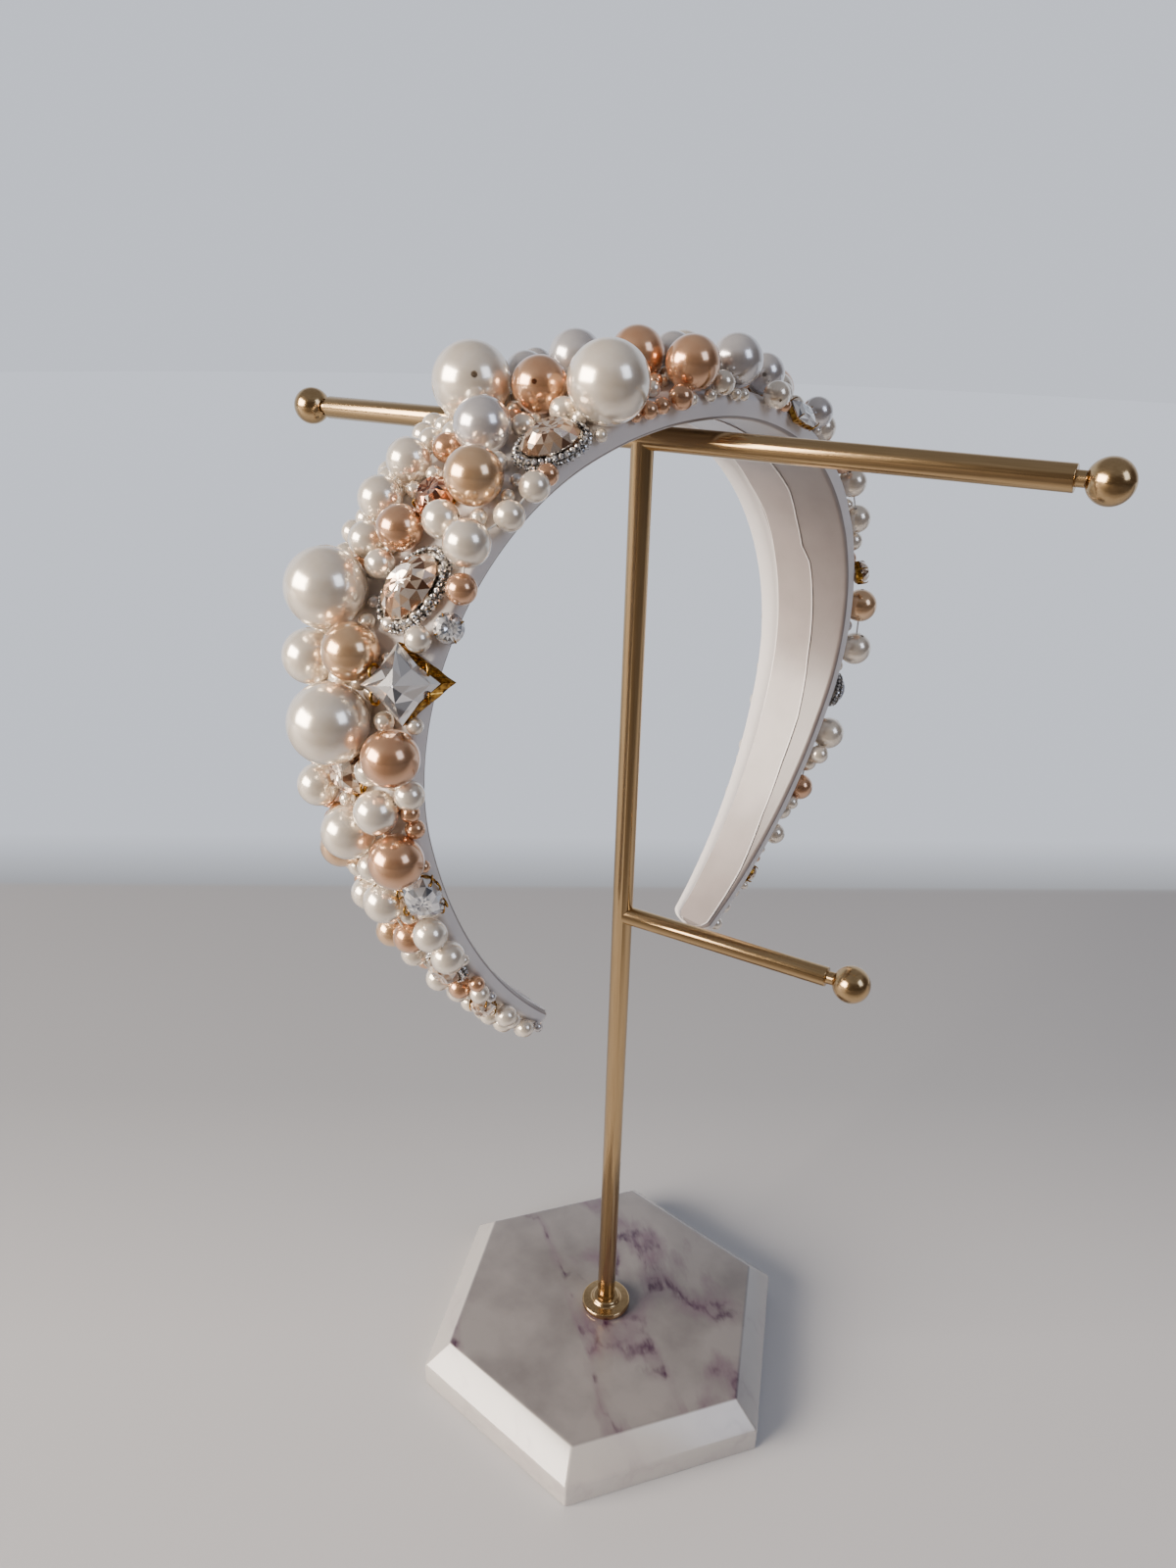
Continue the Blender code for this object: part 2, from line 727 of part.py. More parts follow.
def clears(pearl, others, crystals):
    """Whether a pearl stays clear of the pearls placed before it and of every crystal."""
    centre = pearl.centre()
    for other in others:
        if (centre - other.centre()).length < pearl.radius + other.radius + CLEARANCE:
            return False
    for crystal in crystals:
        gaps = np.linalg.norm(np.array(centre) - crystal.samples, axis=1)
        if gaps.min() < pearl.radius + CLEARANCE:
            return False
    return True


def settle(loose, sprays, crystals):
    """Let the pearls find room beside each other, and lift the few that find none."""
    pearls = loose + [pearl for spray in sprays for pearl in spray]
    for turn in range(SETTLE_TURNS):
        pull = PULL_HOME * max(0.0, 1 - turn / (PULL_TURNS_SHARE * SETTLE_TURNS))
        for number, first in enumerate(pearls):
            for second in pearls[number + 1 :]:
                part_pair(first, second)
            for crystal in crystals:
                push_off(first, crystal)
            home_along, home_across = first.home
            first.shift((home_along - first.along) * pull, (home_across - first.across) * pull)
    placed = []
    for pearl in sorted(pearls, key=lambda item: -item.radius):
        while not clears(pearl, placed, crystals):
            pearl.lift += CLEARANCE / 2
        placed.append(pearl)


def build_spray(name, spray):
    """Strung pearls and the thread between them, fused into one solid."""
    pearls = bmesh.new()
    threads = bmesh.new()
    for pearl in spray:
        add_sphere(pearls, pearl.centre(), pearl.radius, PEARL_SIDES[pearl.size])
    for first, second in zip(spray, spray[1:]):
        start, end = first.centre(), second.centre()
        way = (end - start).normalized()
        ends = (start + way * first.radius / 2, end - way * second.radius / 2)
        turn = way.to_track_quat("Z", "Y")
        angles = [2 * math.pi * step / THREAD_SIDES for step in range(THREAD_SIDES)]
        spokes = [turn @ Vector((math.cos(a), math.sin(a), 0)) * THREAD_RADIUS for a in angles]
        join_rings(threads, [[point + spoke for spoke in spokes] for point in ends])
    spray_piece = add_piece(name, pearls, spray[0].tint)
    boolean(spray_piece, add_piece("thread", threads, spray[0].tint), "UNION")


def build_stand():
    """Marble base, collar, rods and their ball ends."""
    build_base()
    build_collar()
    build_frame()
    for name, reach, height in (
        ("bar_ball_left", -BAR_HALF_LENGTH, BAR_HEIGHT),
        ("bar_ball_right", BAR_HALF_LENGTH, BAR_HEIGHT),
        ("arm_ball", ARM_LENGTH, ARM_HEIGHT),
    ):
        build_ball(name, (reach, 0, height), BALL_RADIUS, ROD_SIDES, "brushed_gold")


def build_trim():
    """Crystals, single pearls and sprays of smaller pearls on the band."""
    crystals = [Crystal(row) for row in CRYSTALS]
    loose = [Pearl(*row) for row in PEARLS]
    sprays = [[Pearl(*row) for row in spray] for spray in SPRAYS]
    settle(loose, sprays, crystals)
    for number, crystal in enumerate(crystals, 1):
        crystal.build(f"crystal_{crystal.cut}_{number:02d}")
    for number, pearl in enumerate(loose, 1):
        name = f"pearl_{pearl.size}_{number:02d}"
        build_ball(name, pearl.centre(), pearl.radius, PEARL_SIDES[pearl.size], pearl.tint)
    for number, spray in enumerate(sprays, 1):
        build_spray(f"spray_{number:02d}", spray)


clear_scene()
build_stand()
build_band()
build_lining()
build_trim()
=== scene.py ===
"""Looks of a bridal headband of pearls and crystals, and of the jewellery stand that holds it.

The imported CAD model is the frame. Each class below builds the finished pieces of one sub-assembly
in the CAD model's own place and dresses them. Lengths are metres, +Z is up, the stand's pole is
the Z axis, and the crossbar runs along X.
"""

import logging
import math
import random
from collections.abc import Callable, Iterator, Sequence
from contextlib import contextmanager
from dataclasses import dataclass, field
from enum import Enum
from functools import lru_cache

import bmesh
import bpy
import numpy as np
from mathutils import Matrix, Vector, noise


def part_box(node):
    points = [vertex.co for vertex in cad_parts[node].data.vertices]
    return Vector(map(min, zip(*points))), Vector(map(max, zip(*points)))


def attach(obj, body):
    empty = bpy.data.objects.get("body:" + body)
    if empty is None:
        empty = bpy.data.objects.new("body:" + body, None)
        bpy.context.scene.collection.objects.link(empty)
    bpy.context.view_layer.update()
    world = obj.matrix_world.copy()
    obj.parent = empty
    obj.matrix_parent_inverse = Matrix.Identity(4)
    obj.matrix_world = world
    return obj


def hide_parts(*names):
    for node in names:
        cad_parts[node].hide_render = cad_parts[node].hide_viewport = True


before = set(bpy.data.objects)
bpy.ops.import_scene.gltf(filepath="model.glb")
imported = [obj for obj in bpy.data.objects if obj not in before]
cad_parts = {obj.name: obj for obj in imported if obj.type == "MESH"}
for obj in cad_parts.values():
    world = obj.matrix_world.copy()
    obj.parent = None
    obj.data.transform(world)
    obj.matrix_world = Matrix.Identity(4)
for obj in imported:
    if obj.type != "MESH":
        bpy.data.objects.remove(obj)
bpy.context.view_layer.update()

LOG = logging.getLogger("headband")
BODY = "root"
MM = 0.001
TURN = 2 * math.pi
VIEWER = Vector((0.11874, -0.22942, 0.29968))
WALL_TONE = "#D0D5E0"
ROOM_LIGHT = 1.22


class Tint(Enum):
    """Colours that the pearls come in."""

    IVORY = "ivory"
    SILVER = "silver"
    CHAMPAGNE = "champagne"
    ROSE = "rose"


class Foil(Enum):
    """Colours of the foiled crystals."""

    CLEAR = "clear_crystal"
    CHAMPAGNE = "champagne_crystal"
    ROSE = "rose_crystal"
    SMOKE = "smoke_crystal"


class Mount(Enum):
    """How a crystal is held."""

    HALO = "halo"
    CLAWS = "claws"


@dataclass(frozen=True)
class CutShape:
    """Outline of a cut: facets round its girdle, roundness, and shares of stone and table."""

    facets: int
    power: float
    stone: float
    table: float
    mount: Mount
    claws: int


class Cut(Enum):
    """The crystals' cuts."""

    OVAL = CutShape(12, 2.0, 0.74, 0.52, Mount.HALO, 0)
    ROUND = CutShape(10, 2.0, 0.86, 0.52, Mount.CLAWS, 4)
    CUSHION = CutShape(12, 3.4, 0.78, 0.50, Mount.CLAWS, 4)
    STAR = CutShape(8, 0.86, 0.92, 0.16, Mount.CLAWS, 0)
    BAGUETTE = CutShape(8, 12.0, 0.84, 0.60, Mount.CLAWS, 4)


# Places on the band: along is a share of the half length from the crown, less than 0 on the
# left leg; across is a share of the half width, less than 0 towards the far edge.
# Columns: cut, tint, along, across, length, width, turn in its own plane, lean over the edge
CRYSTAL_CHART = (
    ("oval", "champagne_crystal", -0.200, 0.84, 0.0165, 0.0120, 20, 14),
    ("oval", "champagne_crystal", -0.369, 0.51, 0.0195, 0.0130, 22, 8),
    ("round", "rose_crystal", -0.288, 0.14, 0.0095, 0.0095, 0, 4),
    ("round", "clear_crystal", -0.390, 1.04, 0.0062, 0.0062, 0, 50),
    ("star", "clear_crystal", -0.447, 0.80, 0.0165, 0.0165, -15, 34),
    ("cushion", "champagne_crystal", -0.540, -0.05, 0.0110, 0.0100, 0, 0),
    ("cushion", "clear_crystal", -0.668, 0.90, 0.0110, 0.0085, 0, 48),
    ("oval", "champagne_crystal", -0.795, 0.50, 0.0120, 0.0095, 0, 16),
    ("round", "champagne_crystal", -0.880, 0.60, 0.0066, 0.0066, 0, 35),
    ("baguette", "clear_crystal", 0.155, 1.02, 0.0080, 0.0055, 0, 50),
    ("oval", "champagne_crystal", 0.275, -0.20, 0.0180, 0.0120, 0, -5),
    ("round", "champagne_crystal", 0.450, 0.92, 0.0066, 0.0066, 0, 45),
    ("star", "clear_crystal", 0.475, -0.25, 0.0175, 0.0175, 0, -5),
    ("oval", "smoke_crystal", 0.610, 0.78, 0.0100, 0.0075, 0, 30),
    ("cushion", "champagne_crystal", 0.680, -0.15, 0.0110, 0.0100, 0, 0),
    ("round", "champagne_crystal", 0.890, 0.45, 0.0070, 0.0070, 0, 25),
)

# Columns: size, tint, along, across
PEARL_CHART = (
    ("grand", "ivory", -0.180, -0.40),
    ("grand", "ivory", -0.140, 1.02),
    ("grand", "ivory", -0.390, -0.35),
    ("grand", "ivory", -0.490, 0.15),
    ("large", "rose", -0.155, 0.28),
    ("large", "silver", -0.090, 0.00),
    ("large", "rose", -0.050, 0.45),
    ("large", "silver", -0.222, 0.22),
    ("large", "champagne", -0.270, 0.70),
    ("large", "champagne", -0.432, 0.20),
    ("large", "rose", -0.495, 0.98),
    ("large", "ivory", -0.590, 0.16),
    ("large", "rose", -0.605, 1.05),
    ("large", "rose", -0.030, 0.95),
    ("large", "silver", 0.040, 0.90),
    ("large", "ivory", 0.100, -0.35),
    ("large", "rose", 0.200, 0.15),
    ("large", "champagne", 0.380, 0.05),
    ("large", "ivory", 0.575, -0.40),
)

# Each spray is a string of pearls in the order of its thread. Columns: size, tint, along, across
SPRAY_CHART = (
    (
        ("medium", "silver", -0.120, -0.28),
        ("small", "silver", -0.085, -0.62),
        ("small", "champagne", -0.030, -0.45),
        ("small", "ivory", 0.010, -0.10),
        ("medium", "silver", 0.000, 0.42),
    ),
    (
        ("petite", "ivory", 0.090, 1.12),
        ("medium", "silver", 0.115, 0.72),
        ("small", "ivory", 0.165, 0.55),
        ("small", "silver", 0.205, 0.92),
    ),
    (
        ("small", "ivory", 0.250, 0.62),
        ("petite", "rose", 0.295, 0.88),
        ("small", "ivory", 0.330, 0.92),
        ("small", "ivory", 0.385, 0.85),
    ),
    (
        ("medium", "champagne", 0.500, 0.92),
        ("medium", "ivory", 0.555, 0.95),
        ("small", "rose", 0.570, 0.40),
    ),
    (
        ("medium", "ivory", 0.670, 0.95),
        ("petite", "ivory", 0.715, 0.70),
        ("small", "rose", 0.752, 0.80),
        ("petite", "ivory", 0.790, 0.55),
        ("petite", "ivory", 0.825, 0.75),
    ),
    (
        ("medium", "ivory", 0.625, -0.80),
        ("small", "rose", 0.690, -0.80),
        ("small", "ivory", 0.745, -0.60),
        ("petite", "ivory", 0.790, -0.40),
        ("petite", "champagne", 0.840, -0.20),
    ),
    (
        ("small", "ivory", 0.130, -0.80),
        ("medium", "ivory", 0.180, -0.70),
        ("small", "rose", 0.235, -0.85),
        ("petite", "ivory", 0.280, -0.90),
    ),
    (
        ("small", "ivory", 0.260, 0.35),
        ("medium", "ivory", 0.315, 0.35),
        ("petite", "rose", 0.350, 0.55),
    ),
    (
        ("medium", "ivory", 0.350, -0.65),
        ("small", "ivory", 0.400, -0.80),
        ("medium", "rose", 0.450, -0.90),
        ("small", "ivory", 0.510, -0.85),
    ),
    (
        ("petite", "rose", -0.242, -0.12),
        ("medium", "ivory", -0.268, -0.45),
        ("medium", "ivory", -0.310, -0.48),
        ("small", "ivory", -0.350, -0.35),
    ),
    (
        ("petite", "ivory", -0.248, 1.14),
        ("petite", "ivory", -0.282, 1.14),
        ("medium", "ivory", -0.320, 0.98),
        ("petite", "rose", -0.356, 1.14),
    ),
    (
        ("small", "ivory", -0.316, 0.54),
        ("medium", "rose", -0.330, 0.25),
        ("petite", "ivory", -0.365, 0.06),
    ),
    (
        ("petite", "ivory", -0.530, 0.55),
        ("petite", "ivory", -0.538, 1.02),
        ("medium", "ivory", -0.565, 0.78),
    ),
    (
        ("medium", "champagne", -0.625, -0.50),
        ("petite", "ivory", -0.640, 0.05),
        ("medium", "ivory", -0.675, 0.42),
        ("small", "rose", -0.730, 0.45),
        ("small", "ivory", -0.722, 0.95),
        ("small", "ivory", -0.750, 1.12),
    ),
    (
        ("large", "ivory", -0.450, -0.75),
        ("small", "champagne", -0.510, -0.75),
        ("medium", "ivory", -0.560, -0.60),
    ),
    (
        ("small", "ivory", -0.690, -0.50),
        ("small", "champagne", -0.745, -0.40),
        ("petite", "ivory", -0.790, -0.40),
        ("petite", "ivory", -0.835, -0.20),
    ),
)


# Fine pearls that the photo shows, too small for the CAD model.
# Columns: tint, diameter in mm, along, across
FINE_CHART = (
    ("ivory", 4.8, -0.319, -0.79),
    ("rose", 4.4, -0.230, 1.12),
    ("ivory", 5.4, -0.178, 0.64),
    ("rose", 4.4, -0.191, 0.28),
    ("ivory", 4.9, -0.205, 0.52),
    ("ivory", 3.3, -0.173, 0.91),
    ("rose", 4.0, -0.553, 1.14),
    ("rose", 4.1, -0.575, 1.15),
    ("ivory", 4.0, -0.764, -0.85),
    ("rose", 3.8, -0.828, 1.06),
    ("ivory", 4.6, -0.845, 1.00),
    ("ivory", 4.2, -0.930, 0.95),
    ("ivory", 4.5, -0.962, 0.95),
    ("ivory", 5.2, 0.205, -0.73),
    ("rose", 2.9, 0.119, 1.10),
    ("ivory", 3.3, -0.071, 0.84),
    ("rose", 3.7, -0.100, 1.16),
    ("rose", 3.4, -0.084, 1.12),
    ("rose", 2.6, -0.112, 1.20),
    ("ivory", 4.2, 0.379, 0.66),
    ("rose", 5.2, 0.445, 0.75),
    ("ivory", 2.5, 0.493, 0.80),
    ("ivory", 5.4, 0.708, 0.76),
    ("ivory", 4.0, 0.780, 0.75),
    ("ivory", 2.9, 0.833, 0.66),
    ("ivory", 2.3, 0.853, 0.72),
    ("ivory", 3.5, 0.923, 0.53),
    ("ivory", 3.8, 0.948, 0.52),
    ("ivory", 4.0, 0.975, 0.60),
)

# Edges of the lining ribbon, as shares of the half width. Columns: along, near edge, far edge
RIBBON_CHART = (
    (0.00, 0.33, -0.50),
    (0.18, 0.27, -0.52),
    (0.25, 0.15, -0.53),
    (0.31, 0.20, -0.54),
    (0.36, 0.13, -0.50),
    (0.405, 0.12, -0.51),
    (0.43, 0.24, -0.53),
    (0.50, 0.28, -0.55),
    (0.57, 0.31, -0.56),
    (0.66, 0.47, -0.58),
    (0.73, 0.48, -0.60),
    (0.81, 0.58, -0.64),
    (0.90, 0.84, -0.78),
    (0.97, 0.88, -0.86),
)


def srgb(code: str) -> tuple[float, float, float, float]:
    """Turn an sRGB hex colour into a linear one.

    Args:
        code: The colour, such as "#C8A16B".

    Returns:
        Linear red, green and blue, and an alpha of 1.
    """
    shares = [int(code[start : start + 2], 16) / 255 for start in (1, 3, 5)]
    linear = [s / 12.92 if s <= 0.04045 else ((s + 0.055) / 1.055) ** 2.4 for s in shares]
    return linear[0], linear[1], linear[2], 1.0


def add_node(tree: bpy.types.NodeTree, kind: str, sockets: dict | None = None, **settings) -> bpy.types.Node:
    """Add one node with its settings and links.

    Args:
        tree: The node tree.
        kind: The node's type name after "ShaderNode".
        sockets: Input name or number to a value, or to the output socket that feeds it.
        **settings: The node's own properties.

    Returns:
        The new node.
    """
    node = tree.nodes.new("ShaderNode" + kind)
    for name, value in settings.items():
        setattr(node, name, value)
    for name, value in (sockets or {}).items():
        if isinstance(value, bpy.types.NodeSocket):
            tree.links.new(value, node.inputs[name])
        else:
            node.inputs[name].default_value = value
    return node


def set_ramp(node: bpy.types.Node, stops: Sequence[tuple[float, tuple]]) -> bpy.types.NodeSocket:
    """Set a colour ramp's stops.

    Args:
        node: The ramp node.
        stops: Place and linear colour of each stop, in order.

    Returns:
        The ramp's colour output.
    """
    ramp = node.color_ramp
    while len(ramp.elements) < len(stops):
        ramp.elements.new(1.0)
    for element, (place, colour) in zip(ramp.elements, stops):
        element.position = place
        element.color = colour
    return node.outputs["Color"]


def per_mm(feature: float) -> float:
    """Scale of a noise or Voronoi texture on metre coordinates, from its feature's size in mm."""
    return 1 / (feature * MM)


def stripes(spacing: float) -> float:
    """Scale of a wave texture on metre coordinates, from its stripes' spacing in mm."""
    return math.pi / 10 / (spacing * MM)


@dataclass(frozen=True)
class Finish:
    """A finish that becomes a material, made once."""

    name: str

    def material(self) -> bpy.types.Material:
        """The finish's material."""
        found = bpy.data.materials.get(self.name)
        if found:
            return found
        material = bpy.data.materials.new(self.name)
        material.use_nodes = True
        tree = material.node_tree
        tree.nodes.clear()
        shader = self.shade(tree)
        add_node(tree, "OutputMaterial", {"Surface": shader.outputs[0]})
        return material

    def shade(self, tree: bpy.types.NodeTree) -> bpy.types.Node:
        """Lay the finish's nodes and return its shader."""
        raise NotImplementedError


@dataclass(frozen=True)
class PearlFinish(Finish):
    """Resin pearl with a dipped nacre coat: a soft metallic lustre under a clear glossy skin."""

    body: str
    cloud: str
    lustre: float
    roughness: float = 0.24

    def shade(self, tree: bpy.types.NodeTree) -> bpy.types.Node:
        """Cloudy colour at 3 mm, and a faint waviness at 2.5 mm that makes highlights wander."""
        place = add_node(tree, "TexCoord").outputs["Object"]
        clouds = add_node(tree, "TexNoise", {"Vector": place, "Scale": per_mm(3.0), "Detail": 3.0})
        colour = set_ramp(
            add_node(tree, "ValToRGB", {"Fac": clouds.outputs["Fac"]}),
            ((0.35, srgb(self.body)), (0.65, srgb(self.cloud))),
        )
        waves = add_node(tree, "TexNoise", {"Vector": place, "Scale": per_mm(2.5), "Detail": 1.0})
        relief = add_node(
            tree, "Bump", {"Height": waves.outputs["Fac"], "Strength": 0.12, "Distance": 0.10 * MM}
        )
        return add_node(
            tree,
            "BsdfPrincipled",
            {
                "Base Color": colour,
                "Metallic": self.lustre,
                "Roughness": self.roughness,
                "Normal": relief.outputs["Normal"],
                "Coat Weight": 1.0,
                "Coat Roughness": 0.04,
                "Coat IOR": 1.55,
            },
        )


@dataclass(frozen=True)
class FoilFinish(Finish):
    """Cut glass with foil behind it: polished facets, each given a painted reflection tone, dark to light, for the
    part of the room it throws back.
    """

    light: str
    middle: str
    dark: str
    slant: float = 0.5
    metal: float = 0.9

    def shade(self, tree: bpy.types.NodeTree) -> bpy.types.Node:
        """Each facet's random painted glint sets its painted reflection tone and tilts its normal."""
        painted_glint = add_node(tree, "Attribute", attribute_name="painted_glint").outputs["Vector"]
        shift = add_node(tree, "VectorMath", {0: painted_glint, 1: (0.5, 0.5, 0.5)}, operation="SUBTRACT")
        slant = add_node(tree, "VectorMath", {0: shift.outputs[0], "Scale": self.slant}, operation="SCALE")
        facing = add_node(tree, "NewGeometry").outputs["Normal"]
        tilted = add_node(tree, "VectorMath", {0: facing, 1: slant.outputs[0]}, operation="ADD")
        normal = add_node(tree, "VectorMath", {0: tilted.outputs[0]}, operation="NORMALIZE")
        # Painted reflection: the glint picks each facet's colour from dark, middle and light.
        share = add_node(tree, "SeparateXYZ", {"Vector": painted_glint})
        colour = set_ramp(
            add_node(tree, "ValToRGB", {"Fac": share.outputs["X"]}),
            ((0.12, srgb(self.dark)), (0.45, srgb(self.middle)), (0.80, srgb(self.light))),
        )
        return add_node(
            tree,
            "BsdfPrincipled",
            {
                "Base Color": colour,
                "Metallic": self.metal,
                "Roughness": 0.08,
                "Normal": normal.outputs[0],
                "Coat Weight": 1.0,
                "Coat Roughness": 0.02,
                "Coat IOR": 1.55,
            },
        )


@dataclass(frozen=True)
class CastMetalFinish(Finish):
    """Plated cast setting: brighter and deeper plating in soft random patches."""

    bright: str
    deep: str
    roughness: float

    def shade(self, tree: bpy.types.NodeTree) -> bpy.types.Node:
        """Patches of deeper plating about 0.8 mm across."""
        place = add_node(tree, "TexCoord").outputs["Object"]
        patches = add_node(tree, "TexNoise", {"Vector": place, "Scale": per_mm(0.8), "Detail": 4.0})
        colour = set_ramp(
            add_node(tree, "ValToRGB", {"Fac": patches.outputs["Fac"]}),
            ((0.38, srgb(self.deep)), (0.60, srgb(self.bright))),
        )
        relief = add_node(
            tree, "Bump", {"Height": patches.outputs["Fac"], "Strength": 0.25, "Distance": 0.05 * MM}
        )
        return add_node(
            tree,
            "BsdfPrincipled",
            {
                "Base Color": colour,
                "Metallic": 1.0,
                "Roughness": self.roughness,
                "Normal": relief.outputs["Normal"],
            },
        )


@dataclass(frozen=True)
class BrushedGoldFinish(Finish):
    """Steel rod plated in pale gold and brushed along its length, which stretches each highlight."""

    along: tuple[float, float, float]

    def shade(self, tree: bpy.types.NodeTree) -> bpy.types.Node:
        """Brush lines 0.15 mm apart and about 6 mm long, drawn coarser than real ones to show."""
        place = add_node(tree, "TexCoord").outputs["Object"]
        lines = add_node(tree, "Mapping", {"Vector": place, "Scale": self.along})
        brush = add_node(
            tree, "TexNoise", {"Vector": lines.outputs[0], "Scale": per_mm(0.3), "Detail": 2.0}
        )
        colour = set_ramp(
            add_node(tree, "ValToRGB", {"Fac": brush.outputs["Fac"]}),
            ((0.30, srgb("#B79A70")), (0.70, srgb("#C4A77D"))),
        )
        gloss = add_node(
            tree, "MapRange", {"Value": brush.outputs["Fac"], "To Min": 0.15, "To Max": 0.22}
        )
        relief = add_node(
            tree, "Bump", {"Height": brush.outputs["Fac"], "Strength": 0.12, "Distance": 0.03 * MM}
        )
        return add_node(
            tree,
            "BsdfPrincipled",
            {
                "Base Color": colour,
                "Metallic": 1.0,
                "Roughness": gloss.outputs["Result"],
                "Normal": relief.outputs["Normal"],
            },
        )


@dataclass(frozen=True)
class MarbleFinish(Finish):
    """Polished white marble: soft grey clouds, and thin mauve veins that fade in and out."""

    shift: tuple[float, float, float] = (0.013, 0.006, 0.0)

    def shade(self, tree: bpy.types.NodeTree) -> bpy.types.Node:
        """Veins that run one way, about 20 mm apart; the bevel and sides are painted paler than the top, as
        painted light.
        """
        place = add_node(tree, "TexCoord").outputs["Object"]
        run = add_node(
            tree, "Mapping", {"Vector": place, "Rotation": (0, 0, math.radians(-137)), "Location": self.shift}
        )
        drawn = add_node(tree, "Mapping", {"Vector": run.outputs[0], "Scale": (0.42, 1.0, 1.0)})
        field = add_node(
            tree,
            "TexNoise",
            {
                "Vector": drawn.outputs[0],
                "Scale": per_mm(30.0),
                "Detail": 6.0,
                "Roughness": 0.52,
                "Distortion": 0.25,
            },
        )
        middle = add_node(tree, "Math", {0: field.outputs["Fac"], 1: 0.5}, operation="SUBTRACT")
        ridge = add_node(tree, "Math", {0: middle.outputs[0]}, operation="ABSOLUTE").outputs[0]
        shades = []
        for width, spacing, low, high in ((0.060, 18.0, 0.38, 0.60), (0.022, 8.0, 0.46, 0.62)):
            line = add_node(tree, "MapRange", {"Value": ridge, "From Max": width, "To Min": 1.0, "To Max": 0.0})
            fade = add_node(tree, "TexNoise", {"Vector": run.outputs[0], "Scale": per_mm(spacing), "Detail": 2.0})
            shown = add_node(
                tree, "MapRange", {"Value": fade.outputs["Fac"], "From Min": low, "From Max": high}
            )
            shades.append(
                add_node(tree, "Math", {0: line.outputs[0], 1: shown.outputs[0]}, operation="MULTIPLY").outputs[0]
            )
        clouds = add_node(tree, "TexNoise", {"Vector": place, "Scale": per_mm(20.0), "Detail": 5.0})
        ground = set_ramp(
            add_node(tree, "ValToRGB", {"Fac": clouds.outputs["Fac"]}),
            ((0.35, srgb("#6F6A69")), (0.62, srgb("#878280"))),
        )
        halo = add_node(tree, "Mix", {0: shades[0], 6: ground, 7: srgb("#6A5762")}, data_type="RGBA")
        veined = add_node(tree, "Mix", {0: shades[1], 6: halo.outputs[2], 7: srgb("#40263A")}, data_type="RGBA")
        # Painted light: below the top face, the bevel and sides are painted paler towards #D2CDC7, where the
        # window lights them.
        height = add_node(tree, "SeparateXYZ", {"Vector": place}).outputs["Z"]
        painted_side_light = add_node(
            tree,
            "MapRange",
            {"Value": height, "From Min": 0.0134, "From Max": 0.0138, "To Min": 0.62, "To Max": 0.0},
        )
        colour = add_node(
            tree, "Mix", {0: painted_side_light.outputs[0], 6: veined.outputs[2], 7: srgb("#D2CDC7")}, data_type="RGBA"
        )
        return add_node(
            tree,
            "BsdfPrincipled",
            {"Base Color": colour.outputs[2], "Roughness": 0.25, "Coat Weight": 1.0, "Coat Roughness": 0.18},
        )


@dataclass(frozen=True)
class SatinFinish(Finish):
    """Woven satin: a soft sheen across the thread, with the ribs or weave raised in relief."""

    pale: str
    deep: str
    rib: float
    rib_height: float
    roughness: float
    gloss: float
    # Whether a painted highlight line runs along both edges.
    painted_edge_highlight: bool = False

    def shade(self, tree: bpy.types.NodeTree) -> bpy.types.Node:
        """Ribs follow the cloth's own map, across the band, over soft patches about 9 mm wide."""
        cloth = add_node(tree, "UVMap", uv_map="cloth").outputs["UV"]
        place = add_node(tree, "TexCoord").outputs["Object"]
        ribs = add_node(
            tree,
            "TexWave",
            {"Vector": cloth, "Scale": stripes(self.rib), "Distortion": 0.6, "Detail": 1.0},
            bands_direction="X",
        )
        patches = add_node(tree, "TexNoise", {"Vector": place, "Scale": per_mm(9.0), "Detail": 3.0})
        # Colour follows the ribs: the grooves are painted darker as painted shade, over soft patches of random
        # tone.
        rib_shade_and_patches = add_node(
            tree,
            "Math",
            {0: ribs.outputs["Fac"], 1: 0.60, 2: patches.outputs["Fac"]},
            operation="MULTIPLY_ADD",
        )
        colour = set_ramp(
            add_node(tree, "ValToRGB", {"Fac": rib_shade_and_patches.outputs[0]}),
            ((0.40, srgb(self.deep)), (1.00, srgb(self.pale))),
        )
        # Painted highlight: a pale line along both edges of the cloth, where the edges catch the light.
        if self.painted_edge_highlight:
            side = add_node(tree, "SeparateXYZ", {"Vector": cloth}).outputs["Y"]
            middle = add_node(tree, "Math", {0: side, 1: ARCH.full_width / 4}, operation="SUBTRACT")
            out = add_node(tree, "Math", {0: middle.outputs[0]}, operation="ABSOLUTE")
            edge = add_node(tree, "Math", {0: out.outputs[0], 1: 0.0104}, operation="GREATER_THAN")
            colour = add_node(
                tree, "Mix", {0: edge.outputs[0], 6: colour, 7: srgb("#F3ECE8")}, data_type="RGBA"
            ).outputs[2]
        folds = add_node(
            tree, "Bump", {"Height": patches.outputs["Fac"], "Strength": 0.3, "Distance": 0.4 * MM}
        )
        relief = add_node(
            tree,
            "Bump",
            {
                "Height": ribs.outputs["Fac"],
                "Strength": 0.5,
                "Distance": self.rib_height * MM,
                "Normal": folds.outputs["Normal"],
            },
        )
        return add_node(
            tree,
            "BsdfPrincipled",
            {
                "Base Color": colour,
                "Roughness": self.roughness,
                "Normal": relief.outputs["Normal"],
                "Sheen Weight": 0.1,
                "Sheen Roughness": 0.4,
                "Coat Weight": self.gloss,
                "Coat Roughness": 0.36,
            },
        )


